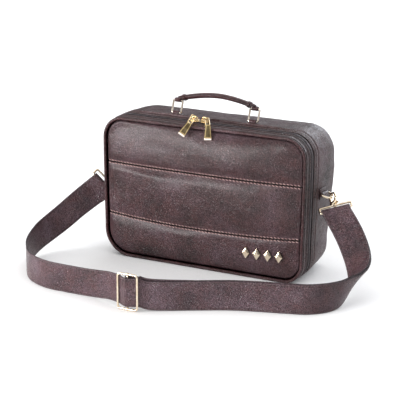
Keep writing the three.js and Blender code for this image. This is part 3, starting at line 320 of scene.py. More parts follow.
class Shape:
    """Collects surfaces in millimetres and makes one object of them."""

    def __init__(self):
        self.points = []
        self.faces = []
        self.tags = []
        self.count = 0

    def add(self, points, faces, **tags):
        points = np.asarray(points, float).reshape(-1, 3)
        self.faces.extend((np.asarray(f) + self.count).tolist() for f in faces)
        for key, value in tags.items():
            values = np.broadcast_to(np.asarray(value, float).reshape(-1), len(points))
            self.tags.append((key, self.count, values))
        self.points.append(points)
        self.count += len(points)
        return self

    def grid(self, points, wrap_u=False, wrap_v=False, caps=False, **tags):
        """Quads through rows of points; caps close the first and the last row."""
        nu, nv = points.shape[:2]
        i, j = np.meshgrid(
            np.arange(nu if wrap_u else nu - 1), np.arange(nv if wrap_v else nv - 1), indexing="ij"
        )
        a = i * nv + j
        b = (i + 1) % nu * nv + j
        c = (i + 1) % nu * nv + (j + 1) % nv
        d = i * nv + (j + 1) % nv
        faces = list(np.stack([a, b, c, d], -1).reshape(-1, 4))
        if caps:
            faces.append(np.arange(nv))
            faces.append(np.arange(nv)[::-1] + (nu - 1) * nv)
        return self.add(points, faces, **tags)

    def solid(self, points, **tags):
        """A body through rings of points, with both ends closed."""
        return self.grid(points, wrap_v=True, caps=True, **tags)

    def ring(self, points, **tags):
        """A body that meets itself both ways."""
        return self.grid(points, wrap_u=True, wrap_v=True, **tags)

    def moved(self, place):
        """Puts every surface where a function takes its points."""
        self.points = [place(p) for p in self.points]
        return self

    def make(self, name, look, body, slot, *nodes, sharp=40):
        """The object: it rides on a body, takes a finish and stands for the solids of the nodes. The slot
        is not used.
        """
        mesh = bpy.data.meshes.new(name)
        points = np.concatenate(self.points) * MM
        mesh.from_pydata(points.tolist(), [], self.faces)
        work = bmesh.new()
        work.from_mesh(mesh)
        bmesh.ops.recalc_face_normals(work, faces=work.faces)
        work.to_mesh(mesh)
        work.free()
        for key in {key for key, _, _ in self.tags}:
            values = np.zeros(self.count, np.float32)
            for other, start, part in self.tags:
                if other == key:
                    values[start:start + len(part)] = part
            mesh.attributes.new(key, "FLOAT", "POINT").data.foreach_set("value", values)
        mesh.shade_smooth()
        mesh.set_sharp_from_angle(angle=math.radians(sharp))
        mesh.materials.append(look)
        piece = bpy.data.objects.new(name, mesh)
        bpy.context.scene.collection.objects.link(piece)
        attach(piece, body)
        if nodes:
            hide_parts(*nodes)
        return piece


def wire(line, radius, sides=16, closed=True):
    """Rings of a round wire along a flat line in the X-Y plane."""
    line = np.asarray(line, float)
    if closed:
        along = np.roll(line, -1, 0) - np.roll(line, 1, 0)
    else:
        along = np.gradient(line, axis=0)
    along = unit(along)
    angle = circle(sides)
    out = radius * np.cos(angle)
    x = line[:, :1] - along[:, 1:] * out
    y = line[:, 1:] + along[:, :1] * out
    z = np.broadcast_to(radius * np.sin(angle), x.shape)
    return np.stack([x, y, z], -1)


def rounded_rectangle(width, height, radius, steps=8):
    """Points once round a rounded rectangle about the origin."""
    points = []
    for sx, sy, start in ((1, -1, -90), (1, 1, 0), (-1, 1, 90), (-1, -1, 180)):
        angle = np.radians(start + 90 * np.arange(steps + 1) / steps)
        points.append(np.stack([
            sx * (width / 2 - radius) + radius * np.cos(angle),
            sy * (height / 2 - radius) + radius * np.sin(angle),
        ], -1))
    return np.concatenate(points)


def rod(radius, length, origin, axis, sides=20, ease=0.25):
    """Rings of a round rod with eased ends, about an origin."""
    axis = unit(axis)
    side = unit(np.cross(axis, [0.3, 0.5, 0.8]))
    up = np.cross(axis, side)
    angle = circle(sides)
    rings = []
    end = length / 2
    thin = radius - ease
    for shift, r in ((-end, thin), (ease - end, radius), (end - ease, radius), (end, thin)):
        rings.append(np.asarray(origin, float) + axis * shift
                     + r * (np.cos(angle)[:, None] * side + np.sin(angle)[:, None] * up))
    return np.stack(rings)


def turned(rims, sides, axis):
    """Rings of (radius, place) rims round an axis, which is 0 for X, 1 for Y and 2 for Z."""
    angle = circle(sides)
    rings = []
    for radius, place in rims:
        around = [radius * np.cos(angle), radius * np.sin(angle)]
        around.insert(axis, np.full(sides, float(place)))
        rings.append(np.column_stack(around))
    return np.stack(rings)


def block(width, height, depth, ease=0.3, corner=None, steps=3):
    """Rings of a block about the origin with eased edges; depth is along Z."""
    corner = ease if corner is None else corner
    rings = []
    for z, inset in ((-0.5, ease), (-0.5, 0), (0.5, 0), (0.5, ease)):
        outline = rounded_rectangle(width - 2 * inset, height - 2 * inset, max(corner - inset, 0.05), steps)
        level = z * depth + (ease if z < 0 else -ease) * (inset == 0)
        rings.append(np.column_stack([outline, np.full(len(outline), level)]))
    return np.stack(rings)


def prism(outline, low, high, ease=0.3):
    """Rings of a flat outline raised from low to high, with eased rims."""
    outline = np.asarray(outline, float)
    middle = outline.mean(0)
    size = np.abs(outline - middle).max(0)
    small = middle + (outline - middle) * (1 - ease / size)
    rings = [(small, low), (outline, low + ease), (outline, high - ease), (small, high)]
    return np.stack([np.column_stack([line, np.full(len(line), z)]) for line, z in rings])


# The stitches of each seam: from one to the next, length, width, slant in degrees and how deep they lie
STITCHES = {
    "gusset": (4.6, 3.4, 0.7, 8, 0.1),
    "strip": (4.6, 3.3, 0.6, 6, 0.1),
    "back": (4.6, 3.4, 0.75, 8, 0.1),
    "front": (5.6, 4.6, 1.35, -22, 0.05),
    "handle_tab": (3, 2.2, 0.6, 8, 0.1),
    "grip": (4.2, 3, 0.6, 8, 0.1),
    "cuff": (2.8, 2, 0.55, 6, 0.1),
    "side_tab": (3.4, 2.5, 0.65, 8, 0.1),
    "strap": (4.4, 3.2, 0.55, 6, 0.1),
}


def stitches(shape, line, normals, kind):
    """Short threads along a line that lies on leather. normals point out of the leather."""
    pitch, length, width, slant, sink = STITCHES[kind]
    line = np.asarray(line, float)
    normals = np.broadcast_to(np.asarray(normals, float), line.shape)
    walked = walk(line)
    count = max(1, int(walked[-1] / pitch))
    at = (np.arange(count) + 0.5) * walked[-1] / count
    centre = sampled(line, walked, at)
    normal = unit(sampled(normals, walked, at))
    course = sampled(line, walked, at + 0.5) - sampled(line, walked, at - 0.5)
    course = unit(course - normal * (course * normal).sum(-1, keepdims=True))
    side = np.cross(normal, course)
    turn = math.radians(slant)
    cos, sin = math.cos(turn), math.sin(turn)
    course, side = course * cos + side * sin, side * cos - course * sin
    share = np.array([-1, -0.82, -0.35, 0.35, 0.82, 1])
    thick = np.array([0.15, 0.72, 1, 1, 0.72, 0.15])
    angle = circle(6)
    share, thick = share[:, None, None], thick[:, None, None]
    around, upward = np.cos(angle)[None, :, None], np.sin(angle)[None, :, None]
    for c, n, f, s in zip(centre, normal, course, side):
        ring = c + n * (width * 0.28 - sink) + f * length / 2 * share
        ring = ring + thick * width / 2 * (around * s + upward * n * 0.8) - (1 - thick) * width * 0.35 * n
        shape.solid(ring)
    return shape


# Case wall

def section(y):
    """The case's outline at a depth: its half width, its height and the radii of its corners."""
    at = (np.asarray(y, float) - FRONT) / DEPTH
    return {key: (WIDTH if key == "half" else HEIGHT) * between(SECTIONS, "depth", key, at)
            for key in SECTIONS if key != "depth"}


def formed(x, y, z):
    """Pinches and swells points of the case sideways."""
    x, y, z = np.broadcast_arrays(*(np.asarray(v, float) for v in (x, y, z)))
    at = section(y)
    front = between(SIDE_FORM, "height", "front", z / at["top"])
    rear = between(SIDE_FORM, "height", "rear", z / at["top"])
    start = BAND_BACK - BAND_DEPTH / 2
    reach = smooth((y - start) / (DEPTH / 2 - start))
    return np.stack([x + WIDTH * (front + (rear - front) * reach) * x / at["half"], y, z], -1)


CORNER_STEPS = 22
ACROSS_STEPS = 90
UP_STEPS = 50


def stations():
    """Stations round the outline, as (corner, share, on a straight side)."""
    rows = []
    for corner, steps in ((0, UP_STEPS), (1, ACROSS_STEPS), (2, UP_STEPS), (3, ACROSS_STEPS)):
        rows += [(corner, i / CORNER_STEPS, False) for i in range(CORNER_STEPS + 1)]
        rows += [(corner, i / steps, True) for i in range(1, steps)]
    return rows


def corner_point(corner, share, y, offset):
    at = section(y)
    radius = at[("foot_right", "top_radius", "top_radius", "foot_left")[corner]]
    sx = 1 if corner < 2 else -1
    centre = at["top"] - radius if corner in (1, 2) else radius
    angle = math.radians(90 * (corner - 1 + share))
    reach = radius + offset
    return sx * (at["half"] - radius) + reach * math.cos(angle), centre + reach * math.sin(angle)


def wall_ring(profile):
    """Grid round the case through a profile of (y, offset) corners."""
    y, offset = np.array(profile, float).T
    rows = []
    for corner, share, straight in stations():
        if straight:
            x0, z0 = corner_point(corner, 1, y, offset)
            x1, z1 = corner_point((corner + 1) % 4, 0, y, offset)
            x, z = x0 + (x1 - x0) * share, z0 + (z1 - z0) * share
        else:
            x, z = corner_point(corner, share, y, offset)
        rows.append(formed(x, y, z))
    return np.stack(rows)


def wall_line(y, offset):
    """Closed line round the case at a depth, with its outward normals."""
    inner = wall_ring([(y, offset - 1), (y, offset)])
    line = inner[:, 1]
    normal = unit(line - inner[:, 0])
    return np.vstack([line, line[:1]]), np.vstack([normal, normal[:1]])


def top_height(y):
    return float(section(y)["top"])


def side_reach(sign, y, z):
    reaches = []
    for a in (-0.5, 0, 0.5):
        for b in (-0.5, 0, 0.5):
            at = y + a * SIDE_PATCH_WIDTH
            reaches.append(sign * formed(sign * section(at)["half"], at, z + b * SIDE_PATCH_LENGTH)[0])
    return sign * max(reaches)


ZIP_MIDDLE = (FRONT + BAND_BACK) / 2
ZIP_FROM = ZIP_MIDDLE - TAPE_WIDTH / 2
ZIP_TO = ZIP_MIDDLE + TAPE_WIDTH / 2


def rear_gusset(look, thread):
    start = BAND_BACK + GAP / 2
    flat = DEPTH / 2 - REAR_EDGE_RADIUS
    outer = [(start, -0.9), (start + 0.25, -0.45), (start + 0.8, -0.15), (start + 1.6, 0)]
    outer += [(y, 0) for y in np.linspace(start + 3, flat, 20)]
    outer += [(flat + REAR_EDGE_RADIUS * math.sin(a), -REAR_EDGE_RADIUS + REAR_EDGE_RADIUS * math.cos(a))
              for a in np.radians(np.linspace(8, 90, 11))]
    inner_radius = REAR_EDGE_RADIUS - WALL
    inner = [(flat + inner_radius * math.sin(a), -REAR_EDGE_RADIUS + inner_radius * math.cos(a))
             for a in np.radians([90, 60, 30, 0])]
    inner += [(start, -WALL)]
    grid = wall_ring(outer + inner)
    n = len(outer)
    skin = grid[:, :n]
    out = surface_normals(skin, True, False)
    depth = skin[..., 1]
    free = smooth((depth - start - 1) / 8) * smooth((DEPTH / 2 - depth + 2) / 8)
    height = skin[..., 2] / HEIGHT
    ripple = 0.5 * rough(skin * [1, 0.6, 1], 46, 2, 3.1) + 0.35 * rough(skin * [1, 0.35, 1], 17, 2, 8.4)
    inward = np.sign((out * (skin - [0, 20, HEIGHT / 2])).sum(-1, keepdims=True))
    skin += out * inward * (ripple * free * (0.5 + 0.8 * smooth(height * 3)))[..., None]
    shape = Shape().ring(grid)
    shape.make("rear_gusset_leather", look, "case", "leather", "rear_gusset")
    threads = Shape()
    line, normal = wall_line(start + 2.6, 0.02)
    stitches(threads, line, normal, "gusset")
    threads.make("gusset_stitches", thread, "case", "leather")


def strip(name, node, start, end, crease, look, thread, rows):
    """Leather strip of the zip band, with a turned edge and its stitches beside the zip."""
    middle = (start + end) / 2
    side = 1 if crease > middle else -1
    profile = [(start, -WALL), (start, -1.0), (start + 0.35, -0.35)]
    for y in np.linspace(start + 1, end - 1, 27):
        beyond = smooth(side * (y - crease) + 0.5)
        groove = 0.75 * peak(y - crease, 0.55) + 0.6 * peak(y - middle, 0.7)
        profile.append((y, 0.02 + 0.18 * beyond - groove))
    profile += [(end - 0.35, -0.35), (end, -1.0), (end, -WALL)]
    grid = wall_ring(profile)
    skin = grid[:, 2:-2]
    skin += 0.1 * rough(skin, 9, 2, 5.0)[..., None] * unit(skin - [0, 0, HEIGHT / 2]) * [1, 0, 1]
    depth = np.array([y for y, _ in profile])
    # Painted shade in the two grooves and along both edges, where the strip meets its neighbours
    lines = ((crease, 0.8), (middle, 0.7), (start, 0.8), (end, 0.8))
    dark = np.minimum(1, sum(peak(depth - y, reach) for y, reach in lines))
    Shape().ring(grid, seam=np.tile(dark, len(grid))).make(
        name, look, "case", "dark_leather", node)
    threads = Shape()
    for y, lift in rows:
        line, normal = wall_line(y, lift)
        stitches(threads, line, normal, "strip")
    threads.make(name + "_stitches", thread, "case", "dark_leather")


# The zip's teeth: how far apart, and the length, width and height of one
TOOTH_PITCH = 1.35
TOOTH = (3.1, 0.95, 1.3)


def zip_round(tape_look, teeth_look):
    edge = TEETH_WIDTH / 2
    top = -TAPE_DROP
    profile = [(ZIP_FROM, top - 0.25)]
    for y in np.linspace(ZIP_FROM + 0.4, ZIP_TO - 0.4, 17):
        ridge = peak(abs(y - ZIP_MIDDLE) - edge - 0.5, 0.35)
        profile.append((y, top + 0.25 * ridge))
    profile += [(ZIP_TO, top - 0.25), (ZIP_TO, top - TAPE_WALL), (ZIP_FROM, top - TAPE_WALL)]
    Shape().ring(wall_ring(profile)).make(
        "zip_tape_woven", tape_look, "case", "zip_tape", "zip_tape")
    teeth = Shape()
    line, normal = wall_line(ZIP_MIDDLE, top + 0.5)
    walked = walk(line)
    count = int(walked[-1] / TOOTH_PITCH)
    at = np.arange(count) * walked[-1] / count
    centre = sampled(line, walked, at)
    out = unit(sampled(normal, walked, at))
    tooth = block(*TOOTH, 0.2, 0.25, 1)
    for i, (c, n) in enumerate(zip(centre, out)):
        course = np.cross(n, [0, 1, 0])
        side = 1 if i % 2 else -1
        local = tooth + [side * 0.85, 0, 0]
        teeth.add(placed(local, c, [0, 1, 0], -course), grid_faces(tooth.shape[:2]))
    teeth.make("zip_teeth", teeth_look, "case", "zip_tape")


def grid_faces(shape):
    nu, nv = shape
    faces = [(i * nv + j, (i + 1) * nv + j, (i + 1) * nv + (j + 1) % nv, i * nv + (j + 1) % nv)
             for i in range(nu - 1) for j in range(nv)]
    return faces + [tuple(range(nv)), tuple((nu - 1) * nv + j for j in reversed(range(nv)))]


def piping(look):
    sides = 18
    angle = circle(sides)
    r = PIPING_RADIUS
    grid = wall_ring([(FRONT - PIPING_AHEAD + r * math.cos(a), r * (math.sin(a) - 1)) for a in angle])
    middle = grid.mean(1, keepdims=True)
    pinch = 0.06 * rough(grid, 7, 2, 2.0) + 0.05 * rough(grid * [1, 3, 1], 3.5, 2, 6.0)
    grid = middle + (grid - middle) * (1 - np.abs(pinch))[..., None]
    Shape().ring(grid).make(
        "front_piping_cord", look, "case", "dark_leather", "front_piping")


# How far the rear swells, and where its seam lies, as a share of the way in from its rim
REAR_BULGE = 4
REAR_SEAM = 0.034


def back_panel(look, thread):
    rear = DEPTH / 2
    rim = wall_ring([(rear, -REAR_EDGE_RADIUS - GAP)])[:, 0]
    middle = HEIGHT / 2
    shares = np.concatenate([[1, 0.997, 0.992, 0.985], np.linspace(0.97, 0.03, 38)])
    rows = []
    for share in shares:
        lift = REAR_BULGE * (1 - share ** 3) - 0.9 * peak(1 - share, 0.006)
        groove = 0.35 * peak(1 - share - REAR_SEAM, 0.006)
        rows.append(np.column_stack([rim[:, 0] * share, np.full(len(rim), rear + lift - groove),
                                     middle + (rim[:, 2] - middle) * share]))
    face = np.stack(rows)
    free = smooth((1 - shares) / 0.12)[:, None]
    face[..., 1] += (0.5 * rough(face, 60, 2, 1.7) + 0.25 * rough(face, 22, 2, 4.4)) * free
    back = face[::-1] - [0, WALL, 0]
    shape = Shape().grid(np.concatenate([face, back]), wrap_v=True)
    n = len(rim)
    inner = len(shares) * n
    last = 2 * inner - n
    shape.faces.append(list(range(inner - n, inner)))
    shape.faces.append(list(range(inner, inner + n)))
    shape.faces.extend([[i, (i + 1) % n, last + (i + 1) % n, last + i] for i in range(n)])
    shape.make("back_panel_leather", look, "case", "leather", "back_panel")
    share = 1 - REAR_SEAM
    line = np.column_stack([rim[:, 0] * share, np.full(n, rear + REAR_BULGE * (1 - share ** 3) - 0.3),
                            middle + (rim[:, 2] - middle) * share])
    threads = Shape()
    stitches(threads, np.vstack([line, line[:1]]), [0, 1, 0], "back")
    threads.make("back_panel_stitches", thread, "case", "leather")


# Front panels

PANEL_INSET = 2 * PIPING_RADIUS + GAP
FRONT_SECTION = {key: float(value) for key, value in section(FRONT).items()}
PANEL_HALF = FRONT_SECTION["half"] - PANEL_INSET
PANEL_TOP = FRONT_SECTION["top"] - PANEL_INSET
PANEL_FOOT = PANEL_INSET


def pillow(share, power):
    return 1 - np.minimum(1, np.abs(share)) ** power


def outline_top(x):
    radius = FRONT_SECTION["top_radius"] - PANEL_INSET
    past = np.maximum(0, np.abs(x) - (PANEL_HALF - radius))
    return PANEL_TOP - radius + np.sqrt(np.maximum(0, radius ** 2 - past ** 2))


def foot_radius(x):
    return np.where(np.asarray(x) > 0, FRONT_SECTION["foot_right"], FRONT_SECTION["foot_left"])


def outline_foot(x):
    radius = foot_radius(x) - PANEL_INSET
    past = np.maximum(0, np.abs(x) - (PANEL_HALF - radius))
    return PANEL_FOOT + radius - np.sqrt(np.maximum(0, radius ** 2 - past ** 2))


def lower_seam(x):
    return LOWER_SEAM - LOWER_SEAM_SAG * pillow(np.asarray(x) / PANEL_HALF, 2)


def upper_seam(x):
    return np.full(np.shape(x), float(UPPER_SEAM))


def panel_out(x, z, low, high):
    """How far a panel's face stands out, without its edges."""
    across = x / PANEL_HALF
    up = 2 * (z - PANEL_FOOT) / (PANEL_TOP - PANEL_FOOT) - 1
    own = 2 * (z - low) / (high - low) - 1
    out = FRONT_BULGE * pillow(across, 2.6) * pillow(up, 2.6) - EDGE_TUCK
    out = out + PANEL_PUFF * pillow(own, 2.4) * pillow(across, 9)
    for k in range(len(DENTS["out"])):
        reach = DENTS["reach"][k] * HEIGHT
        spot = peak(np.hypot(x - DENTS["across"][k] * WIDTH, z - DENTS["up"][k] * HEIGHT), reach)
        out = out + DENTS["out"][k] * DEPTH * spot * pillow(own, 4) * pillow(across, 9)
    return out


def rim_distance(x, z):
    """Distance of a point of the front from the piping, inwards."""
    upper = z > HEIGHT / 2
    radius = np.where(upper, FRONT_SECTION["top_radius"], foot_radius(x)) - PANEL_INSET
    dx = np.abs(x) - (PANEL_HALF - radius)
    dz = np.where(upper, z - (PANEL_TOP - radius), PANEL_FOOT + radius - z)
    corner = radius - np.hypot(np.maximum(dx, 0), np.maximum(dz, 0))
    return np.where((dx > 0) & (dz > 0), corner, radius - np.maximum(dx, dz))


# A short upright fold beside the left end of the middle panel
SIDE_FOLD_X = -152
SIDE_FOLD_Z = 100


def wrinkles(x, z):
    """Fine creases of the leather over its padding."""
    p = np.stack([x, np.zeros_like(x), z], -1)
    soft = 3.6 * rough(p * [0.5, 1, 1.1], 64, 1, 11.0) + 0.35 * rough(p * [0.7, 1, 1.4], 26, 2, 4.2)
    soft = soft + 0.06 * rough(p * [0.8, 1, 1.2], 8, 2, 6.1)
    fold = peak(x - SIDE_FOLD_X + 0.1 * (z - SIDE_FOLD_Z), 2.2)
    soft = soft - 1.1 * fold * smooth((z - SIDE_FOLD_Z + 16) / 14) * smooth((SIDE_FOLD_Z + 36 - z) / 14)
    pucker = rough(p * [1, 1, 0.25], 6.5, 2, 7.7)
    return soft, pucker


PANELS = {
    "upper": (lambda x: upper_seam(x) + GAP / 2, outline_top),
    "middle": (lambda x: lower_seam(x) + GAP / 2, lambda x: upper_seam(x) - GAP / 2),
    "lower": (outline_foot, lambda x: lower_seam(x) - GAP / 2),
}


def panel_grid(name, wide=230, tall=64):
    """Columns and rows over a panel, as x, z and the panel's bounds."""
    low, high = PANELS[name]
    t = np.linspace(-1, 1, wide)
    x = PANEL_HALF * (0.5 * t + 0.5 * np.sin(math.pi * t / 2))
    v = np.linspace(0, 1, tall)
    v = 0.6 * v + 0.4 * (1 - np.cos(math.pi * v)) / 2
    x = np.repeat(x[:, None], tall, 1)
    bottom, top = low(x), high(x)
    return x, bottom + (top - bottom) * v, bottom, top


def panel_depth(name, x, z, low, high):
    """Depth of a panel's finished face."""
    out = panel_out(x, z, low, high)
    rim = rim_distance(x, z)
    to_low = z - low if name != "lower" else np.full_like(x, 99)
    to_high = high - z if name != "upper" else np.full_like(x, 99)
    seam = np.minimum(to_low, to_high)
    soft, pucker = wrinkles(x, z)
    inside = smooth(seam / 14) * smooth(rim / 12)
    out = out + soft * inside
    edges = np.exp(-seam / 7) * smooth(seam / 2.5) + np.exp(-rim / 8) * smooth(rim / 2.5)
    out = out + 0.3 * pucker * edges
    out = out - 1.8 * peak(seam, 0.9) - 2.4 * peak(rim, 1.7)
    return out, seam, rim


def front_panel(name, look):
    x, z, low, high = panel_grid(name)
    out, seam, rim = panel_depth(name, x, z, low, high)
    face = formed(x, FRONT - out, z)
    back = face[:, ::-1] + [0, WALL, 0]
    # Painted highlight on the ridges beside the seams and the piping, and painted shade in the seam and rim
    # grooves
    worn = peak(seam - 2.2, 1.6) + 0.6 * peak(rim - 2.5, 2)
    dark = np.minimum(1, 0.9 * peak(seam, 1.5) + peak(rim, 2.0))
    shape = Shape().solid(
        np.concatenate([face, back], 1),
        worn=np.concatenate([worn, worn * 0], 1), seam=np.concatenate([dark, dark * 0], 1),
    )
    piece = shape.make(
        f"front_panel_{name}_leather", look, "case", "leather", f"front_panel_{name}", sharp=70)


def seam_threads(look):
    """Two rows of stitches on each seam across the front."""
    threads = Shape()
    x = np.linspace(-PANEL_HALF + 3, PANEL_HALF - 3, 240)
    for seam, above, below in ((upper_seam, "upper", "middle"), (lower_seam, "middle", "lower")):
        for name, shift in ((above, 2.1), (below, -2.1)):
            low, high = (f(x) for f in PANELS[name])
            z = seam(x) + shift
            out, _, _ = panel_depth(name, x, z, low, high)
            line = formed(x, FRONT - out, z)
            stitches(threads, line, [0, -1, 0.1 * np.sign(shift)], "front")
    threads.make("front_seam_stitches", look, "case", "leather")


# The lip's section, from its front foot to its rear one, as shares of its thickness and height
LIP_PROFILE = ((0, 0), (0.03, 0.5), (0.16, 0.9), (0.34, 1.0), (0.56, 0.97), (0.76, 0.8), (0.93, 0.45),
               (1, 0))


def top_lip(look):
    steps = 90
    share = np.arange(steps + 1) / steps
    x = LIP_LEFT + (LIP_RIGHT - LIP_LEFT) * share
    end = np.minimum(1, 4 * np.minimum(share, 1 - share) + 0.35)
    end = np.where(np.minimum(share, 1 - share) < 0.004, end * 0.7, end)
    start = BAND_BACK - LIP_AHEAD - LIP_THICKNESS / 2
    stop = BAND_BACK - LIP_AHEAD + LIP_THICKNESS / 2
    foot = max(top_height(start), top_height(stop)) + GAP
    grid = np.stack([
        np.stack([vec(a, start + (stop - start) * p, foot + LIP_HEIGHT * e * q) for p, q in LIP_PROFILE])
        for a, e in zip(x, end)
    ])
    grid[..., 1] += 0.12 * np.sin(grid[..., 0] / 5.3) * (grid[..., 2] > foot)
    Shape().solid(grid).make("top_lip_leather", look, "case", "dark_leather", "top_lip")


# Zip sliders and pulls

SLIDER_FOOT = top_height(ZIP_MIDDLE) + TEETH_RISE - TAPE_DROP + GAP
BARREL = LINK_WIRE + GAP + BARREL_WALL


def high_face(x, z):
    low, high = PANELS["upper"]
    x, z = np.float64(x), np.float64(z)
    return FRONT - float(panel_out(x, z, low(x), high(x)))


# Half of the slider's outline, as shares of half its length and half its width
SLIDER_OUTLINE = ((-1, 0.45), (-0.9, 0.68), (-0.3, 1), (0.78, 1), (1, 0.75), (1, 0.5), (0.75, 0.18))
# Half of the pull's outline from its top down, as shares of half its width and its length
PULL_OUTLINE = ((0.5, PULL_ABOVE / PULL_LENGTH), (0.6, (PULL_ABOVE - 0.8) / PULL_LENGTH), (0.66, 0),
                (0.86, -0.62), (0.97, -0.86))
# How far the pull's rim stands above its plate
RAISED = 0.15


def slider(name, x, facing, look):
    l = SLIDER_LENGTH / 2
    half = [(l * a, SLIDER_WIDTH / 2 * b) for a, b in SLIDER_OUTLINE]
    outline = half + [(a, -b) for a, b in reversed(half)]
    shape = Shape()
    shape.solid(prism(outline, 0, SLIDER_HEIGHT * 0.34, 0.3))
    waist = [(a * 0.86, b * 0.62) for a, b in outline]
    shape.solid(prism(waist, SLIDER_HEIGHT * 0.3, SLIDER_HEIGHT * 0.7, 0.05))
    shape.solid(prism(outline, SLIDER_HEIGHT * 0.62, SLIDER_HEIGHT, 0.45))
    angle = math.pi - math.pi * np.arange(19) / 18
    arch = np.column_stack([0.62 * l * np.cos(angle), BRIDGE_RISE * np.sin(angle)])
    bridge = wire(arch, BRIDGE_WIRE, 14, False)
    bridge = placed(bridge, [0, 0, SLIDER_HEIGHT - BRIDGE_SINK], [1, 0, 0], [0, 0, 1])
    shape.solid(bridge)
    shape.moved(lambda p: placed(p, [x, ZIP_MIDDLE, SLIDER_FOOT], [facing, 0, 0], [0, facing, 0]))
    shape.make(f"zip_slider_{name}_metal", look, "case", "gold", f"zip_slider_{name}", sharp=32)


def pull_frame(side, shift, lean):
    """Where a link and its pull lie."""
    slider_x = SLIDER_MIDDLE + side * SLIDER_PITCH / 2
    eye_x = slider_x + shift
    height = top_height(FRONT) + PULL_HEIGHT
    window = vec(slider_x, ZIP_MIDDLE,
                 SLIDER_FOOT + SLIDER_HEIGHT - BRIDGE_SINK + BRIDGE_RISE - BRIDGE_WIRE - LINK_WIRE - GAP)
    tilt = math.radians(lean)
    edge = FRONT - PIPING_AHEAD - PIPING_RADIUS
    turn = math.atan2(shift - side * 3, ZIP_MIDDLE - edge)
    reach = PULL_WIDTH / 2 * abs(math.sin(turn))
    eye = vec(eye_x, edge - GAP - BARREL, height)
    foot_x = eye_x + PULL_LENGTH * math.sin(tilt)
    behind = high_face(foot_x, height - PULL_LENGTH) - reach - 2 * GAP
    foot_y = min(eye[1], behind + BARREL - GAP)
    course = eye - window
    level = -unit(np.cross(course, [0, 0, 1]))
    leaning = np.array(Matrix.Rotation(tilt, 3, Vector(course).normalized()) @ Vector(level))
    rear = window + leaning * side * LINK_WIDTH / 2
    along = unit(eye - rear)
    across = unit(leaning - along * np.dot(leaning, along))
    down = vec(0, foot_y - eye[1], -PULL_LENGTH * math.cos(tilt))
    down = unit(down - across * np.dot(down, across))
    return {"eye": eye, "rear": rear, "along": along, "across": across, "down": down}


def zip_pull(name, at, rim_look, face_look, cap_look):
    def hung(points):
        return placed(points, at["eye"], at["across"], -at["down"])

    half = [(PULL_WIDTH / 2 * a, PULL_LENGTH * b) for a, b in PULL_OUTLINE]
    outline = np.array([(-a, b) for a, b in half] + [(a, b) for a, b in reversed(half)])
    base = BARREL - GAP
    top = base + PULL_THICKNESS
    shape = Shape()
    shape.solid(prism(outline, base, top, 0.35))
    middle = outline.mean(0)
    inner = middle + (outline - middle) * [0.68, 0.84]
    outer = middle + (outline - middle) * [0.97, 0.98]
    rims = ((outer, top - 0.2), (outer, top + RAISED), (inner, top + RAISED), (inner, top - 0.2))
    rail = np.stack([np.column_stack([line, np.full(len(line), z)]) for line, z in rims])
    shape.grid(rail, wrap_v=True)
    end = (LINK_WIDTH - 2 * LINK_CORNER) / 2
    bore = LINK_WIRE + GAP
    shape.ring(turned([(BARREL, -end), (BARREL, end), (bore, end), (bore, -end)], 24, 0))
    pull = shape.moved(hung).make(
        f"zip_pull_{name}_frame", rim_look, "case", "gold", f"zip_pull_{name}", sharp=32)
    Shape().solid(hung(prism(inner, top - 0.25, top + 0.02, 0.1))).make(
        f"zip_pull_{name}_plate", face_look, "case", "gold", sharp=32)
    cap = block(PULL_WIDTH, PULL_LENGTH * 0.15, PULL_THICKNESS + 0.5, 0.35, 0.7)
    Shape().solid(hung(cap + [0, -PULL_LENGTH * 0.93, (base + top) / 2])).make(
        f"zip_pull_{name}_cap", cap_look, "case", "gold", sharp=32)
    return pull


def zip_link(name, at, look):
    behind = LINK_WIRE + GAP + LINK_TAIL
    length = np.linalg.norm(at["eye"] - at["rear"]) + behind
    loop = wire(rounded_rectangle(length, LINK_WIDTH, LINK_CORNER, 6), LINK_WIRE, 12)
    loop = placed(loop, at["eye"] - at["along"] * length / 2, at["along"], at["across"])
    Shape().ring(loop).make(
        f"zip_link_{name}_wire", look, "case", "gold", f"zip_link_{name}", sharp=60)


# Loops of leather

def loop_height(bar_radius):
    return bar_radius + GAP + TAB_LEATHER


def leather_loop(width, patch_length, patch_depth, bar_radius):
    """Leather folded round a bar along local X, the sewn patch below it and the line of its stitches."""
    outer = loop_height(bar_radius)
    angle = circle(40) + math.pi / 40
    c, s = np.cos(angle), np.sin(angle)
    square = np.minimum(outer / np.maximum(np.abs(c), 1e-6), outer / np.maximum(-s, 1e-6))
    reach = np.where(s >= 0, outer, square)
    rim = np.column_stack([reach * c, outer + reach * s])
    hole = np.column_stack([(bar_radius + GAP) * c, outer + (bar_radius + GAP) * s])
    rings = []
    for line, x in ((rim * 0.985 + [0, 0.015 * outer], -0.5), (rim, -0.47), (rim, 0.47),
                    (rim * 0.985 + [0, 0.015 * outer], 0.5), (hole, 0.5), (hole, -0.5)):
        rings.append(np.column_stack([np.full(len(line), x * width), line]))
    patch = block(patch_length, patch_depth, TAB_LEATHER, 0.45, 2.2, 6) + [0, 0, TAB_LEATHER / 2]
    a = patch_length / 2 - 1.7
    b = patch_depth / 2 - 1.7
    line = np.column_stack([rounded_rectangle(2 * a, 2 * b, min(1.5, b * 0.9), 4),
                            np.full(20, TAB_LEATHER)])
    return np.stack(rings), patch, line


# Handle

HANDLE_Y = BAND_BACK - LIP_AHEAD + LIP_THICKNESS / 2 + 2 * GAP + loop_height(HANDLE_WIRE)
TAB_FOOT = top_height(HANDLE_Y) + GAP
HANDLE_AXIS_Z = TAB_FOOT + loop_height(HANDLE_WIRE)
RING_TOP_Z = HANDLE_AXIS_Z + HANDLE_RING_HEIGHT
RING_STRAIGHT = HANDLE_RING_WIDTH - 2 * HANDLE_RING_CORNER


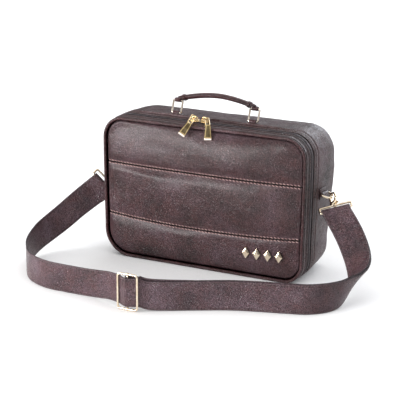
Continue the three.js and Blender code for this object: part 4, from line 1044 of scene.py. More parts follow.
def handle_tab(name, x, look, thread):
    loop, _, _ = leather_loop(RING_STRAIGHT, HANDLE_TAB_PATCH, 2 * loop_height(HANDLE_WIRE), HANDLE_WIRE)
    depth = HANDLE_TAB_DEPTH
    back = depth / 2 - loop_height(HANDLE_WIRE)
    patch = block(HANDLE_TAB_PATCH, depth, TAB_LEATHER, 0.45, 2.2, 6) + [0, back, TAB_LEATHER / 2]
    place = [x, HANDLE_Y, TAB_FOOT]
    shape = Shape().ring(loop + place).solid(patch + place)
    shape.make(f"handle_tab_{name}_leather", look, "case", "dark_leather", f"handle_tab_{name}")
    edge = rounded_rectangle(HANDLE_TAB_PATCH - 3, depth - 3, 1.4, 4)
    line = np.column_stack([edge[:, 0], edge[:, 1] + back, np.full(len(edge), TAB_LEATHER)]) + place
    line = line[(np.abs(line[:, 0] - x) > RING_STRAIGHT / 2 + 0.6)]
    threads = Shape()
    for sign in (-1, 1):
        part = line[sign * (line[:, 0] - x) > 0]
        order = np.argsort(np.arctan2(part[:, 1] - HANDLE_Y - back, sign * (part[:, 0] - x)))
        stitches(threads, part[order], [0, 0, 1], "handle_tab")
    threads.make(f"handle_tab_{name}_stitches", thread, "case", "dark_leather")


def leaned(points):
    """Turns points of the handle back about its hinge line."""
    angle = math.radians(HANDLE_LEAN)
    y = points[..., 1] - HANDLE_Y
    z = points[..., 2] - HANDLE_AXIS_Z
    return np.stack([points[..., 0], HANDLE_Y + y * math.cos(angle) + z * math.sin(angle),
                     HANDLE_AXIS_Z + z * math.cos(angle) - y * math.sin(angle)], -1)


def handle_ring(name, x, look):
    line = rounded_rectangle(HANDLE_RING_WIDTH, HANDLE_RING_HEIGHT, HANDLE_RING_CORNER, 7)
    loop = wire(line, HANDLE_WIRE, 16)
    loop = placed(loop, [x, HANDLE_Y, HANDLE_AXIS_Z + HANDLE_RING_HEIGHT / 2], [1, 0, 0], [0, 0, 1])
    Shape().ring(leaned(loop)).make(
        f"handle_ring_{name}_wire", look, "handle", "gold", f"handle_ring_{name}", sharp=60)


def grip_rings(along, sides):
    half = HANDLE_SPAN / 2
    barrel = HANDLE_WIRE + GAP + TAB_LEATHER
    foot = RING_TOP_Z + barrel * 0.55
    wide = np.interp(np.abs(along), GRIP["along"], GRIP["wide"])
    tall = np.interp(np.abs(along), GRIP["along"], GRIP["tall"])
    angle = circle(sides)
    x = HANDLE_X + along * half
    z = foot + HANDLE_RISE * (1 - np.abs(along) ** HANDLE_ROUND)
    slope = -HANDLE_RISE * HANDLE_ROUND * np.sign(along) * np.abs(along) ** (HANDLE_ROUND - 1) / half
    normal = unit(np.stack([-slope, slope * 0, np.ones_like(slope)], -1))
    up = tall[:, None] * GRIP_HEIGHT * np.sin(angle) / 2
    side = wide[:, None] * GRIP_WIDTH * np.cos(angle) * (1 - 0.12 * np.sin(angle)) / 2
    side = side * (1 - 0.07 * np.exp(-(np.sin(angle) / 0.16) ** 2))
    return np.stack([x[:, None] + normal[:, :1] * up, HANDLE_Y + side, z[:, None] + normal[:, 2:] * up], -1)


def clear_of_ring(points):
    """Keeps the grip's under side clear of the two rings that it hangs on."""
    room = HANDLE_WIRE + GAP
    p = points.copy()
    for sign in (-1, 1):
        centre = HANDLE_X + sign * HANDLE_SPAN / 2
        for leg in (-1, 1):
            at = centre + leg * HANDLE_RING_WIDTH / 2
            under = (np.abs(p[..., 0] - at) < room) & (p[..., 2] < RING_TOP_Z + room + 0.05)
            p[..., 2] = np.where(under, RING_TOP_Z + room + 0.05, p[..., 2])
        over = np.abs(p[..., 0] - centre) < HANDLE_RING_WIDTH / 2 + room
        r = room + 0.05
        y = p[..., 1] - HANDLE_Y
        low = RING_TOP_Z + np.sqrt(np.maximum(0, r * r - y * y))
        inside = over & (np.abs(y) < r) & (p[..., 2] < low)
        p[..., 2] = np.where(inside, low, p[..., 2])
    return p


def handle_grip(look, thread):
    fine = np.linspace(-0.99, 0.99, 190)
    edges = np.concatenate([s * GRIP["along"][1:-1] + d for s in (-1, 1) for d in (-0.003, 0.0, 0.003)])
    along = np.unique(np.round(np.concatenate([fine, edges]), 4))
    grid = clear_of_ring(grip_rings(along, 36))
    middle = grid.mean(1, keepdims=True)
    grid = middle + (grid - middle) * (1 + 0.012 * rough(grid * [0.5, 1, 1], 6, 2, 9.0))[..., None]
    grid = clear_of_ring(grid)
    turn = circle(36)
    cuff = np.abs(np.abs(along) - (GRIP["along"][3:5].mean())) < 0.045
    # Painted shade along the pinched groove on each side, except on the cuffs, and a painted highlight
    # along the top
    seam = np.where(cuff[:, None], 0, np.exp(-(np.sin(turn) / 0.15) ** 2))
    worn = peak(np.sin(turn) - 0.75, 0.25) * np.ones(len(along))[:, None]
    shape = Shape().solid(grid, seam=seam, worn=worn)
    barrel = HANDLE_WIRE + GAP + TAB_LEATHER
    bore = HANDLE_WIRE + GAP
    rims = ((barrel - 0.3, -0.5), (barrel, -0.46), (barrel, 0.46), (barrel - 0.3, 0.5),
            (bore, 0.5), (bore, -0.5))
    for sign in (-1, 1):
        centre = [HANDLE_X + sign * HANDLE_SPAN / 2, HANDLE_Y, RING_TOP_Z]
        shape.ring(turned([(r, a * RING_STRAIGHT) for r, a in rims], 32, 0) + centre)
    shape.moved(leaned).make("handle_grip_leather", look, "handle", "dark_leather", "handle_grip")
    threads = Shape()
    run = np.linspace(-0.79, 0.79, 90)
    rings = grip_rings(run, 36)
    for j in (4, 14):
        line = rings[:, j]
        normal = unit(line - rings.mean(1))
        stitches(threads, line, normal, "grip")
    for sign in (-1, 1):
        for at in (0.825, 0.87):
            ring = grip_rings(np.array([sign * at]), 36)[0]
            normal = unit(ring - ring.mean(0))
            stitches(threads, ring[:19], normal[:19], "cuff")
    threads.moved(leaned).make("handle_grip_stitches", thread, "handle", "dark_leather")


# Side rings, snap hooks and strap rings

def side_frame(sign, drop, hook_direction, bar_direction):
    face = side_reach(sign, SIDE_RING_Y, SIDE_RING_Z)
    bar = vec(face + sign * (GAP + loop_height(D_WIRE)), SIDE_RING_Y, SIDE_RING_Z)
    angle = math.radians(drop)
    d_down = vec(sign * math.cos(angle), 0, -math.sin(angle))
    apex = bar + d_down * (D_LEG + D_BAR / 2)
    down = unit(hook_direction)
    bar_direction = np.asarray(bar_direction, float)
    across = unit(bar_direction - down * np.dot(bar_direction, down))
    through = unit(vec(0, 1, 0) - down * down[1])
    slack = HOOK_RADIUS - (HOOK_WIRE + D_WIRE + GAP + HOOK_PLAY) / through[1]
    eye = apex + down * slack
    hub = eye + down * (HOOK_LOOP + HOOK_BASE + HUB_DROP)
    seat = hub + down * STRAP_RING_HEIGHT
    return {"sign": sign, "face": face, "bar": bar, "d_down": d_down, "down": down, "across": across,
            "through": through, "eye": eye, "hub": hub, "seat": seat}


LEFT = side_frame(-1, D_LEFT_DROP, (-0.43, -0.66, -0.62), (-0.54, -0.15, 0.83))
RIGHT = side_frame(1, D_RIGHT_DROP, (0.517, -0.738, -0.43), (0.80, 0.52, 0.30))
GATE_PIVOT = HOOK_LOOP - 0.4
GATE_PIN = 0.6


def side_tab(name, at, look, thread):
    width = D_BAR - 2 * D_WIRE - 2 * GAP
    loop, patch, line = leather_loop(width, SIDE_PATCH_WIDTH, SIDE_PATCH_LENGTH, D_WIRE)
    origin = vec(at["face"] + at["sign"] * GAP, SIDE_RING_Y, SIDE_RING_Z)

    def place(p):
        return placed(p, origin, [0, 1, 0], [0, 0, at["sign"]])

    shape = Shape().ring(place(loop)).solid(place(patch))
    shape.make(f"side_tab_{name}_leather", look, "case", "dark_leather", f"side_tab_{name}")
    threads = Shape()
    for sign in (-1, 1):
        part = line[sign * line[:, 1] > loop_height(D_WIRE) + 0.8]
        part = part[np.argsort(np.arctan2(part[:, 0], sign * part[:, 1]))]
        stitches(threads, place(part), [at["sign"], 0, 0], "side_tab")
    threads.make(f"side_tab_{name}_stitches", thread, "case", "dark_leather")


def d_ring(name, at, look):
    half = D_BAR / 2
    angle = math.pi * np.arange(31) / 30
    bow = np.column_stack([half * np.cos(angle), D_LEG + half * np.sin(angle)])
    turn = np.radians(np.arange(0, 91, 15))
    right = np.column_stack([half - 1.3 + 1.3 * np.sin(turn), 1.3 - 1.3 * np.cos(turn)])
    left = np.column_stack([-right[::-1, 0], right[::-1, 1]])
    line = np.vstack([left[-1:], np.linspace(left[-1], right[0], 12)[1:-1], right, bow[1:-1], left[:-1]])
    loop = placed(wire(line, D_WIRE, 16), at["bar"], [0, 1, 0], at["d_down"])
    Shape().ring(loop).make(
        f"d_ring_{name}_wire", look, "case", "gold", f"d_ring_{name}", sharp=60)


def in_hook_axes(points, at):
    return placed(points, at["eye"], np.cross(at["down"], at["through"]), at["down"])


def snap_hook(name, at, look):
    angle = math.pi + math.pi * np.arange(25) / 24
    bow = np.column_stack([HOOK_RADIUS * np.cos(angle), HOOK_RADIUS * np.sin(angle)])
    line = np.vstack([[-HOOK_RADIUS, HOOK_LOOP + 1], [-HOOK_RADIUS, HOOK_LOOP / 2], [-HOOK_RADIUS, 1], bow,
                      [HOOK_RADIUS, NOSE_END]])
    width = 2 * (HOOK_RADIUS + HOOK_WIRE)
    thick = 2 * (GATE_RADIUS + GAP + CHEEK)
    shape = Shape()
    shape.solid(wire(line, HOOK_WIRE, 18, False))
    shape.solid(block(width, HOOK_BASE, thick, 0.7, 1.4, 5) + [0, HOOK_LOOP + HOOK_BASE / 2, 0])
    for sign in (-1, 1):
        cheek = block(2 * HOOK_WIRE, 3.4, CHEEK, 0.3, 0.9, 4)
        shape.solid(cheek + [HOOK_RADIUS, HOOK_LOOP - 0.8, sign * (GATE_RADIUS + GAP + CHEEK / 2)])
    shape.solid(rod(GATE_PIN, thick + 0.5, [HOOK_RADIUS, GATE_PIVOT, 0], [0, 0, 1], 14, 0.15))
    reach = HOOK_LOOP + HOOK_BASE
    shape.solid(rod(STUD_SHAFT, 7, [0, reach + HUB_DROP, 0], [0, 1, 0], 18, 0.1))
    shape.solid(rod(STUD_HEAD, 0.9, [0, reach + 0.2, 0], [0, 1, 0], 22, 0.25))
    head = reach + HUB_DROP + HUB_LENGTH / 2 + GAP + HUB_WALL
    shape.solid(rod(STUD_HEAD, 1.4, [0, head, 0], [0, 1, 0], 22, 0.4))
    shape.moved(lambda p: in_hook_axes(p, at)).make(
        f"snap_hook_{name}_metal", look, "case", "gold", f"snap_hook_{name}", sharp=40)


def hook_gate(name, at, look):
    bore = GATE_PIN + GAP
    length = GATE_PIVOT - NOSE_END - GAP
    rims = [(bore + 1, -GATE_RADIUS), (bore + 1, GATE_RADIUS), (bore, GATE_RADIUS), (bore, -GATE_RADIUS)]
    shape = Shape().ring(turned(rims, 24, 2) + [HOOK_RADIUS, GATE_PIVOT, 0])
    bar = block(2 * GATE_RADIUS, length - bore - 0.4, 2 * GATE_RADIUS, 0.35, 0.5, 3)
    shape.solid(bar + [HOOK_RADIUS, GATE_PIVOT - (length + bore + 0.4) / 2, 0])
    thumb = block(1.4, 3.4, 2 * GATE_RADIUS, 0.35, 0.6, 3)
    shape.solid(thumb + [HOOK_RADIUS + GATE_RADIUS + 0.5, GATE_PIVOT - 5, 0])
    shape.moved(lambda p: in_hook_axes(p, at)).make(
        f"hook_gate_{name}_metal", look, f"gate_{name}", "gold", f"hook_gate_{name}", sharp=40)


RING_LENGTH = STRAP_WIDTH + 2 * STRAP_RING_WIRE + 2


def strap_ring(name, at, look):
    loop = wire(rounded_rectangle(RING_LENGTH, STRAP_RING_HEIGHT, 3, 8), STRAP_RING_WIRE, 18)
    shape = Shape().ring(loop + [0, STRAP_RING_HEIGHT / 2, 0])
    radius = STUD_HEAD + HUB_WALL
    bore = STUD_SHAFT + GAP
    rims = ((radius - 0.3, -0.5), (radius, -0.42), (radius, 0.42), (radius - 0.3, 0.5),
            (bore, 0.5), (bore, -0.5))
    shape.ring(turned([(r, y * HUB_LENGTH) for r, y in rims], 28, 1))
    p = shape.points[0]
    radial = np.hypot(p[:, 0], p[:, 2])
    near = (np.abs(p[:, 1]) < HUB_LENGTH / 2) & (radial < bore)
    x, _, z = p[near].T
    p[near, 2] = np.where(z < 0, -1, 1) * np.sqrt(bore ** 2 - np.minimum(x ** 2, bore ** 2))
    shape.moved(lambda q: placed(q, at["hub"], at["across"], at["down"])).make(
        f"strap_ring_{name}_wire", look, "case", "gold", f"strap_ring_{name}", sharp=50)


# Strap

BUCKLE_TALL = STRAP_WIDTH + 2 * (BUCKLE_MARGIN + BUCKLE_WIRE)
BUCKLE_MIDDLE = BUCKLE_TALL / 2 + BUCKLE_WIRE + BUCKLE_COLLAR
BUCKLE_STRAP_Z = BUCKLE_MIDDLE - BUCKLE_TALL / 2 + BUCKLE_WIRE + BUCKLE_COLLAR + GAP
RING_BEND = STRAP_RING_WIRE + 2 * GAP + STRAP_THICKNESS / 2
BAR_BEND = BUCKLE_BAR_WIRE + GAP + STRAP_THICKNESS / 2
LAYERS = STRAP_THICKNESS + LAYER_GAP
LEFT_STEPS = 230
RIGHT_STEPS = 270


def run_rows(table):
    rows = []
    for x, y, z, tip_x, tip_y in zip(*(table[k] for k in ("x", "y", "z", "tip_x", "tip_y"))):
        across = unit([tip_x, tip_y, 1])
        sink = math.hypot(across[0], across[1]) * STRAP_THICKNESS / 2
        low = vec(x * WIDTH, y * DEPTH, z * HEIGHT + sink)
        rows.append((low, low + across * STRAP_WIDTH))
    return rows


def centripetal(points, t):
    """Point of the smooth curve through the points, from 0 to 1 along it."""
    n = len(points)
    place = (n - 1) * t
    i = min(int(place), n - 2)
    w = place - i
    p1, p2 = points[i], points[i + 1]
    p0 = points[i - 1] if i > 0 else 2 * points[0] - points[1]
    p3 = points[i + 2] if i + 2 < n else 2 * points[-1] - points[-2]
    d0, d1, d2 = (max(np.linalg.norm(b - a), 1e-6) ** 0.5 for a, b in ((p0, p1), (p1, p2), (p2, p3)))
    t1 = ((p1 - p0) / d0 - (p2 - p0) / (d0 + d1) + (p2 - p1) / d1) * d1
    t2 = ((p2 - p1) / d1 - (p3 - p1) / (d1 + d2) + (p3 - p2) / d2) * d1
    return p1 + t1 * w + (-3 * p1 + 3 * p2 - 2 * t1 - t2) * w ** 2 + (2 * p1 - 2 * p2 + t1 + t2) * w ** 3


def run(rows, steps):
    """Smooth run of stations (middle, direction across, way out) through rows of lower and upper edges."""
    lows = [a for a, _ in rows]
    highs = [b for _, b in rows]
    made = []
    for i in range(steps + 1):
        t = i / steps
        a, b = centripetal(lows, t), centripetal(highs, t)
        t0, t1 = max(t - 1e-4, 0), min(t + 1e-4, 1)
        along = (unit(centripetal(lows, t1) - centripetal(lows, t0))
                 + unit(centripetal(highs, t1) - centripetal(highs, t0)))
        across = unit(b - a)
        made.append(((a + b) / 2, across, unit(np.cross(unit(along), across))))
    return made


def bend(centre, across, out, turn, radius, steps):
    made = []
    for i in range(steps + 1):
        spin = Matrix.Rotation(math.radians(turn * i / steps), 3, Vector(across).normalized())
        facing = np.array(spin @ Vector(out))
        made.append((centre + facing * radius, across, facing))
    return made


def ring_seat(at, flip):
    width = at["across"]
    out = unit(np.cross(at["down"] * flip, width))
    low = at["seat"] + out * RING_BEND - width * STRAP_WIDTH / 2
    return out, width, (low, low + width * STRAP_WIDTH)


def strap_path():
    upright = vec(0, 0, 1)
    left_out, left_width, left_row = ring_seat(LEFT, 1)
    right_out, right_width, right_row = ring_seat(RIGHT, -1)

    def buckle_row(dx, dy, lift=0.0):
        low = vec(BUCKLE_X + dx, BUCKLE_Y + dy, BUCKLE_STRAP_Z + lift)
        return low, low + upright * STRAP_WIDTH

    half = BUCKLE_LENGTH / 2
    behind = BUCKLE_WIRE + 3 * GAP + STRAP_THICKNESS / 2
    before = BAR_BEND + STRAP_THICKNESS + GAP
    through = [buckle_row(along * half, out * (behind if out > 0 else before), lift)
               for along, out, lift in zip(*(BUCKLE_RUN[k] for k in ("along", "out", "lift")))]
    left_run = run([left_row, *run_rows(STRAP_LEFT), *through[:3]], LEFT_STEPS)
    right_run = run([*through[2:], *run_rows(STRAP_RIGHT), right_row], RIGHT_STEPS)
    outer = left_run + right_run[1:]
    left_bend = bend(LEFT["seat"], left_width, -left_out, 180, RING_BEND, 14)
    right_bend = bend(RIGHT["seat"], right_width, right_out, 180, RING_BEND, 14)
    # The end that is folded back through the left ring
    fold = []
    walked = 0
    i = 1
    while walked < FOLD_LENGTH and i < len(left_run):
        walked += np.linalg.norm(left_run[i][0] - left_run[i - 1][0])
        apart = max(LAYERS, 2 * RING_BEND + (LAYERS - 2 * RING_BEND) * walked / FOLD_LENGTH)
        centre, across, out = left_run[i]
        fold.append((centre - out * apart, across, -out))
        i += 1
    # The inner layer, from the right ring back to the buckle's bar
    back = []
    wire_at = BUCKLE_X + half
    reach = len(right_run) - 1
    for i in range(reach - 1, 0, -1):
        centre, across, out = right_run[i]
        share = 1 - i / reach
        if centre[0] < wire_at + 2:
            break
        apart = (LAYERS + (2 * RING_BEND - LAYERS) * max(0, 1 - share / 0.12)
                 + LENS * peak(share - LENS_AT, LENS_REACH))
        lift = LAYER_STEP * max(0, 1 - (centre[0] - wire_at) / LAYER_STEP_LENGTH)
        back.append((centre - out * apart + across * lift, across, -out))
    inner_z = BUCKLE_STRAP_Z + LAYER_STEP + STRAP_WIDTH / 2
    gap = behind + LAYERS
    rearwards = vec(0, 1, 0)
    crossing = vec(BUCKLE_X + half * 0.5, BUCKLE_Y + (gap + BAR_BEND) * 0.55, inner_z)
    to_bar = [(vec(wire_at, BUCKLE_Y + gap, inner_z), upright, rearwards), (crossing, upright, rearwards)]
    hold = bend(vec(BUCKLE_X, BUCKLE_Y, inner_z), upright, rearwards, 205, BAR_BEND, 18)
    return fold[::-1] + left_bend + outer[1:-1] + right_bend + back + to_bar + hold


# From the strap's edge to its seam
STRAP_SEAM = 2.1


def strap(look, thread):
    """The leather strip, lifted wherever it would dip into the floor, with stitches along its edges."""
    w = STRAP_WIDTH / 2
    t = STRAP_THICKNESS / 2
    edge = [(-w, 0.0), (-w + 0.15, 0.55), (-w + 0.6, 0.9)]
    face = [(a, t - 0.26 * peak(abs(a) - w + STRAP_SEAM, 0.5)) for a in np.linspace(1 - w, w - 1, 33)]
    half = edge + face + [(-a, b) for a, b in reversed(edge)]
    profile = np.array(half + [(a, -b) for a, b in reversed(half[1:-1])])
    path = strap_path()
    rings = []
    marks = []
    for centre, across, out in path:
        ring = centre + profile[:, :1] * across + profile[:, 1:] * out
        corners = [centre + a * across + b * out for a in (-w, w) for b in (-t, t)]
        lift = max(0, -min(p[2] for p in corners))
        rings.append(ring + [0, 0, lift])
        marks.append((centre + [0, 0, lift], across, out))
    grid = np.stack(rings)
    # A painted highlight just inside each rounded edge, and painted shade in the stitch grooves with a
    # darker band on the cut edge
    inward = w - np.abs(profile[:, 0])
    worn = peak(inward - 1.3, 0.7)
    seam = np.minimum(1, 0.8 * peak(inward - 2.4, 0.6) + (inward < 0.5))
    shape = Shape().solid(grid, worn=np.tile(worn, len(grid)), seam=np.tile(seam, len(grid)))
    shape.make("shoulder_strap_leather", look, "case", "leather", "shoulder_strap", sharp=55)
    threads = Shape()
    for sign in (-1, 1):
        line = np.array([c + a * sign * (w - STRAP_SEAM) + o * (t - 0.12) for c, a, o in marks])
        normal = np.array([o for _, _, o in marks])
        stitches(threads, line, normal, "strap")
    threads.make("shoulder_strap_stitches", thread, "case", "leather")


def buckle(look):
    loop = wire(rounded_rectangle(BUCKLE_LENGTH, BUCKLE_TALL, BUCKLE_CORNER, 10), BUCKLE_WIRE, 18)
    shape = Shape().ring(placed(loop, [0, 0, 0], [1, 0, 0], [0, 0, 1]))
    shape.solid(rod(BUCKLE_BAR_WIRE, BUCKLE_TALL, [0, 0, 0], [0, 0, 1], 20, 0.1))
    for sign in (-1, 1):
        shape.solid(rod(BUCKLE_WIRE + BUCKLE_COLLAR, 3 * BUCKLE_BAR_WIRE, [0, 0, sign * BUCKLE_TALL / 2],
                       [1, 0, 0], 24, 0.4))
    shape.moved(lambda p: p + [BUCKLE_X, BUCKLE_Y, BUCKLE_MIDDLE]).make(
        "strap_buckle_metal", look, "case", "gold", "strap_buckle", sharp=50)


# Materials

class Graph:
    """Nodes of a material or of the world, with short calls for what repeats."""

    def __init__(self, name, tree=None):
        if tree is None:
            self.material = bpy.data.materials.new(name)
            self.material.use_nodes = True
            tree = self.material.node_tree
            self.shader = tree.nodes["Principled BSDF"]
            self.place = tree.nodes.new("ShaderNodeTexCoord").outputs["Object"]
        self.nodes = tree.nodes
        self.link = tree.links.new

    def feed(self, value, socket):
        """Links a node's output to a socket, or sets a plain value on it."""
        if isinstance(value, bpy.types.NodeSocket):
            self.link(value, socket)
        elif socket.type == "RGBA":
            socket.default_value = (*value, 1)
        else:
            socket.default_value = value

    def set(self, **values):
        """Plain values of the shader; a name's words are joined with _."""
        for key, value in values.items():
            self.shader.inputs[SOCKETS[key]].default_value = value

    def noise(self, scale, detail=3, roughness=0.5, stretch=None):
        node = self.nodes.new("ShaderNodeTexNoise")
        node.inputs["Scale"].default_value = scale
        node.inputs["Detail"].default_value = detail
        node.inputs["Roughness"].default_value = roughness
        place = self.place
        if stretch:
            mapping = self.nodes.new("ShaderNodeMapping")
            mapping.inputs["Scale"].default_value = stretch
            self.link(place, mapping.inputs["Vector"])
            place = mapping.outputs["Vector"]
        self.link(place, node.inputs["Vector"])
        return node.outputs["Fac"]

    def ramp(self, value, *stops):
        node = self.nodes.new("ShaderNodeValToRGB")
        band = node.color_ramp
        while len(band.elements) < len(stops):
            band.elements.new(0.5)
        for element, (at, colour) in zip(band.elements, stops):
            element.position = at
            element.color = (colour, colour, colour, 1) if np.isscalar(colour) else (*colour, 1)
        self.link(value, node.inputs["Fac"])
        return node.outputs["Color"]

    def mix(self, share, first, second, mode="MIX"):
        node = self.nodes.new("ShaderNodeMix")
        node.data_type = "RGBA"
        node.blend_type = mode
        for key, value in (("Factor", share), ("A", first), ("B", second)):
            self.feed(value, node.inputs[key])
        return node.outputs["Result"]

    def maths(self, kind, a, b):
        node = self.nodes.new("ShaderNodeMath")
        node.operation = kind
        self.feed(a, node.inputs[0])
        self.feed(b, node.inputs[1])
        return node.outputs["Value"]

    def wave(self, scale, distortion, direction=None):
        node = self.nodes.new("ShaderNodeTexWave")
        node.inputs["Scale"].default_value = scale
        node.inputs["Distortion"].default_value = distortion
        if direction:
            node.bands_direction = direction
        self.link(self.place, node.inputs["Vector"])
        return node.outputs["Fac"]

    def attribute(self, name):
        node = self.nodes.new("ShaderNodeAttribute")
        node.attribute_name = name
        return node.outputs["Fac"]

    def finish(self, height, strength, distance):
        """Fine relief of a height, in metres."""
        relief = self.nodes.new("ShaderNodeBump")
        relief.inputs["Strength"].default_value = strength
        relief.inputs["Distance"].default_value = distance
        self.link(height, relief.inputs["Height"])
        self.link(relief.outputs["Normal"], self.shader.inputs["Normal"])
        return self.material


SOCKETS = {"metallic": "Metallic", "roughness": "Roughness", "specular": "Specular IOR Level",
           "sheen": "Sheen Weight", "coat": "Coat Weight", "coat_roughness": "Coat Roughness"}


def leather(name, dark, mid, light, red, gloss=(0.3, 0.48), grain=400, bump=0.8, coat=0.1, spec=0.5):
    """Soft leather: mottled colour, pebble grain, fine creases, a painted highlight on ridges and edges,
    and painted shade in seams and grooves.
    """
    look = Graph(name)
    # Broad mottling with redder patches and fine dark specks
    broad = look.noise(15, 5, 0.62)
    colour = look.ramp(broad, (0.34, dark), (0.5, mid), (0.66, light))
    patch = look.noise(48, 5, 0.65)
    colour = look.mix(look.ramp(patch, (0.42, 0.0), (0.68, 0.7)), colour, red)
    speck = look.noise(640, 3, 0.6)
    colour = look.mix(1.0, colour, look.ramp(speck, (0.37, 0.3), (0.58, 1.0)), "MULTIPLY")
    look.link(look.ramp(speck, (0.36, spec * 0.4), (0.62, spec)), look.shader.inputs["Specular IOR Level"])
    # Pebbles, with their cells bent a little
    cells = look.nodes.new("ShaderNodeTexVoronoi")
    cells.feature = "DISTANCE_TO_EDGE"
    cells.inputs["Scale"].default_value = grain
    warp = look.nodes.new("ShaderNodeMix")
    warp.data_type = "VECTOR"
    fuzz = look.nodes.new("ShaderNodeTexNoise")
    fuzz.inputs["Scale"].default_value = 160
    look.link(look.place, fuzz.inputs["Vector"])
    warp.inputs["Factor"].default_value = 0.004
    look.link(look.place, warp.inputs["A"])
    look.link(fuzz.outputs["Color"], warp.inputs["B"])
    look.link(warp.outputs["Result"], cells.inputs["Vector"])
    pebble = look.ramp(cells.outputs["Distance"], (0.0, 0.0), (0.22, 1.0))
    colour = look.mix(0.35, colour, pebble, "MULTIPLY")
    # Painted highlight (paler ridges, edges and tops) and painted shade (near-black seams and grooves),
    # read from point attributes
    worn = look.attribute("worn")
    seam = look.attribute("seam")
    colour = look.mix(look.maths("MULTIPLY", worn, 0.35), colour, light)
    colour = look.mix(look.maths("MULTIPLY", seam, 0.95), colour, tuple(c * 0.1 for c in dark))
    look.link(colour, look.shader.inputs["Base Color"])
    shine = look.noise(70, 4, 0.6)
    look.link(look.ramp(shine, (0.35, gloss[0]), (0.68, gloss[1])), look.shader.inputs["Roughness"])
    # Relief of pebbles, creases and ripples
    crease = look.noise(260, 2, 0.5, (1.0, 1.0, 1.35))
    height = look.maths("MULTIPLY", pebble, 0.5)
    height = look.maths("ADD", height, look.maths("MULTIPLY", crease, 0.9))
    ripple = look.noise(62, 3, 0.5)
    height = look.maths("ADD", height, look.maths("MULTIPLY", ripple, 0.3))
    look.set(coat=coat, coat_roughness=0.3)
    return look.finish(height, bump, 0.0016)


def thread(name, pale, deep):
    look = Graph(name)
    tone = look.noise(130, 4, 0.7)
    look.link(look.ramp(tone, (0.35, deep), (0.62, pale)), look.shader.inputs["Base Color"])
    look.set(roughness=0.55, sheen=0.3)
    return look.finish(look.wave(700, 1.5), 0.5, 0.0002)


def metal(name, pale, deep, gloss=(0.12, 0.3)):
    look = Graph(name)
    tone = look.noise(140, 5, 0.6)
    look.link(look.ramp(tone, (0.35, deep), (0.65, pale)), look.shader.inputs["Base Color"])
    look.set(metallic=1)
    scratch = look.noise(900, 4, 0.7, (1, 1, 0.2))
    look.link(look.ramp(scratch, (0.3, gloss[0]), (0.75, gloss[1])), look.shader.inputs["Roughness"])
    return look.finish(scratch, 0.08, 0.0002)


def woven(name, deep, pale):
    look = Graph(name)
    cloth = look.maths("MULTIPLY", look.wave(420, 0.6, "Y"), look.wave(300, 0.6, "DIAGONAL"))
    fade = look.noise(60, 4, 0.6)
    colour = look.ramp(cloth, (0.1, deep), (0.8, pale))
    colour = look.mix(look.maths("MULTIPLY", fade, 0.5), colour, deep)
    look.link(colour, look.shader.inputs["Base Color"])
    look.set(roughness=0.75, sheen=0.2)
    return look.finish(cloth, 0.6, 0.0003)


CASE_LEATHER = leather("case_leather", (0.024, 0.008, 0.009), (0.062, 0.026, 0.031), (0.108, 0.058, 0.072),
                       (0.086, 0.028, 0.028), gloss=(0.34, 0.46), spec=0.4, coat=0.2)
TRIM_LEATHER = leather("trim_leather", (0.022, 0.007, 0.008), (0.062, 0.022, 0.025), (0.122, 0.064, 0.074),
                       (0.090, 0.026, 0.026), gloss=(0.24, 0.4), bump=0.5, spec=0.36)
GUSSET_LEATHER = leather("gusset_leather", (0.027, 0.009, 0.010), (0.076, 0.036, 0.042),
                         (0.140, 0.082, 0.100), (0.100, 0.033, 0.033), coat=0.0, spec=0.3)
STRAP_LEATHER = leather("strap_leather", (0.044, 0.020, 0.025), (0.106, 0.056, 0.070),
                        (0.180, 0.112, 0.138), (0.126, 0.050, 0.053), gloss=(0.27, 0.43), bump=0.75)
TAN_THREAD = thread("tan_thread", (0.46, 0.29, 0.265), (0.20, 0.095, 0.09))
DARK_THREAD = thread("dark_thread", (0.17, 0.095, 0.09), (0.07, 0.033, 0.033))
TAPE = woven("zip_tape_cloth", (0.012, 0.008, 0.01), (0.045, 0.033, 0.038))
TEETH = metal("zip_teeth_finish", (0.11, 0.085, 0.09), (0.05, 0.036, 0.04), (0.3, 0.5))
GOLD = metal("pale_gold", (0.88, 0.77, 0.61), (0.72, 0.58, 0.42))
DEEP_GOLD = metal("deep_gold", (0.80, 0.63, 0.36), (0.52, 0.36, 0.17))
BRONZE = metal("dark_bronze", (0.17, 0.13, 0.07), (0.07, 0.05, 0.026), (0.2, 0.36))
RING_GOLD = metal("ring_gold", (0.74, 0.66, 0.57), (0.46, 0.39, 0.33))
OLIVE = metal("olive_gold", (0.56, 0.43, 0.21), (0.27, 0.195, 0.09))
CAP_GOLD = metal("rose_gold", (0.98, 0.86, 0.78), (0.92, 0.76, 0.66), (0.1, 0.22))


# Pieces

rear_gusset(GUSSET_LEATHER, DARK_THREAD)
back_panel(GUSSET_LEATHER, DARK_THREAD)
strip("zip_band_rear_leather", "zip_band_rear", ZIP_TO + GAP, BAND_BACK - GAP / 2, ZIP_TO + GAP + 3.2,
      TRIM_LEATHER, DARK_THREAD, [(ZIP_TO + GAP + 2.2, 0.1), (BAND_BACK - 2.6, 0.1)])
strip("zip_band_front_leather", "zip_band_front", FRONT - PIPING_AHEAD + PIPING_RADIUS + GAP,
      ZIP_FROM - GAP, ZIP_FROM - GAP - 3.2, TRIM_LEATHER, DARK_THREAD, [(ZIP_FROM - GAP - 2.2, 0.1)])
zip_round(TAPE, TEETH)
piping(TRIM_LEATHER)
for part in PANELS:
    front_panel(part, CASE_LEATHER)
seam_threads(TAN_THREAD)
top_lip(TRIM_LEATHER)

for part, side, shift, lean in (("left", -1, 3.2, -37), ("right", 1, 18.4, 0)):
    at = pull_frame(side, shift, lean)
    slider(part, SLIDER_MIDDLE + side * SLIDER_PITCH / 2, side, DEEP_GOLD)
    zip_link(part, at, DEEP_GOLD)
    zip_pull(part, at, OLIVE, BRONZE, CAP_GOLD)

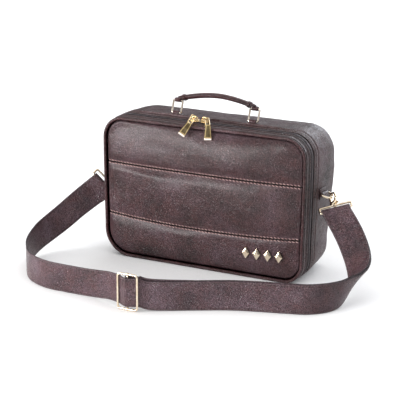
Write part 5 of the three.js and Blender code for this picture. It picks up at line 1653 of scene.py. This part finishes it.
for part, sign in (("left", -1), ("right", 1)):
    handle_tab(part, HANDLE_X + sign * HANDLE_SPAN / 2, TRIM_LEATHER, DARK_THREAD)
    handle_ring(part, HANDLE_X + sign * HANDLE_SPAN / 2, RING_GOLD)
handle_grip(TRIM_LEATHER, DARK_THREAD)

for part, at in (("left", LEFT), ("right", RIGHT)):
    side_tab(part, at, TRIM_LEATHER, DARK_THREAD)
    d_ring(part, at, GOLD)
    snap_hook(part, at, GOLD)
    hook_gate(part, at, GOLD)
    strap_ring(part, at, GOLD)

strap(STRAP_LEATHER, DARK_THREAD)
buckle(GOLD)

for number in range(1, 5):
    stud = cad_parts[f"ornament_stud_{number}"]
    stud.data.materials.clear()
    stud.data.materials.append(GOLD)


# Floor, light and camera

floor_mesh = bpy.data.meshes.new("floor")
FLOOR_REACH = 14
corners = [(x * FLOOR_REACH, y * FLOOR_REACH, 0) for x, y in ((-1, -1), (1, -1), (1, 1), (-1, 1))]
floor_mesh.from_pydata(corners, [], [(0, 1, 2, 3)])
floor = bpy.data.objects.new("floor", floor_mesh)
floor.location.z = -0.0003
bpy.context.scene.collection.objects.link(floor)
paper = Graph("floor_paper")
paper.link(paper.ramp(paper.noise(300, 2), (0.3, 0.95), (0.7, 0.97)), paper.shader.inputs["Base Color"])
paper.set(roughness=0.9, specular=0.1)
floor_mesh.materials.append(paper.material)


def soft_light(name, place, aim, size, power, colour=(1, 1, 1)):
    data = bpy.data.lights.new(name, "AREA")
    data.shape = "RECTANGLE"
    data.size, data.size_y = size
    data.energy = power
    data.color = colour
    light = bpy.data.objects.new(name, data)
    light.location = place
    light.rotation_euler = (Vector(aim) - Vector(place)).to_track_quat("-Z", "Y").to_euler()
    bpy.context.scene.collection.objects.link(light)


world = bpy.data.worlds.new("studio")
world.use_nodes = True
studio = Graph("studio", world.node_tree)
split = studio.nodes.new("ShaderNodeSeparateXYZ")
studio.link(studio.nodes.new("ShaderNodeTexCoord").outputs["Generated"], split.inputs["Vector"])
sky = studio.ramp(split.outputs["Z"], (0.0, 0.1), (0.35, 0.5), (1.0, 1.0))
studio.link(sky, studio.nodes["Background"].inputs["Color"])
studio.nodes["Background"].inputs["Strength"].default_value = 1.4
bpy.context.scene.world = world
soft_light("key", (-1.5, -2.15, 0.4), (0, 0, 0.12), (1.9, 0.6), 95)
soft_light("rear", (0.5, 2.4, 0.9), (0, 0, 0.15), (2.4, 1.0), 48, (0.88, 0.93, 1))
soft_light("side", (1.9, -0.9, 1.1), (0, 0, 0.1), (0.6, 0.9), 1.5)

# The camera looks at the middle of the case's foot from a distance in metres, shifted across and up
YAW = math.radians(27.41)
PITCH = math.radians(16.018)
ROLL = math.radians(0.319)
DISTANCE = 2.23108
OFFSET = (-0.027575, 0.086679)
FOOT = 0.004
SENSOR = 36
PICTURE = 400
FOCAL_PIXELS = 1437.39
ahead = np.array([-math.sin(YAW) * math.cos(PITCH), math.cos(YAW) * math.cos(PITCH), -math.sin(PITCH)])
right = np.array([math.cos(YAW), math.sin(YAW), 0])
upward = np.cross(right, ahead)
right, upward = (right * math.cos(ROLL) + upward * math.sin(ROLL),
                 upward * math.cos(ROLL) - right * math.sin(ROLL))
eye = -ahead * DISTANCE + right * OFFSET[0] + upward * OFFSET[1] + np.array([0, 0, FOOT])
camera_data = bpy.data.cameras.new("camera")
camera_data.sensor_width = SENSOR
camera_data.lens = SENSOR * FOCAL_PIXELS / PICTURE
camera_data.clip_end = 60
camera = bpy.data.objects.new("camera", camera_data)
camera.matrix_world = Matrix([[*row, 0] for row in np.column_stack([right, upward, -ahead]).tolist()]
                             + [[0, 0, 0, 1]])
camera.location = eye
bpy.context.scene.collection.objects.link(camera)
bpy.context.scene.camera = camera
bpy.context.scene.view_settings.view_transform = "Standard"
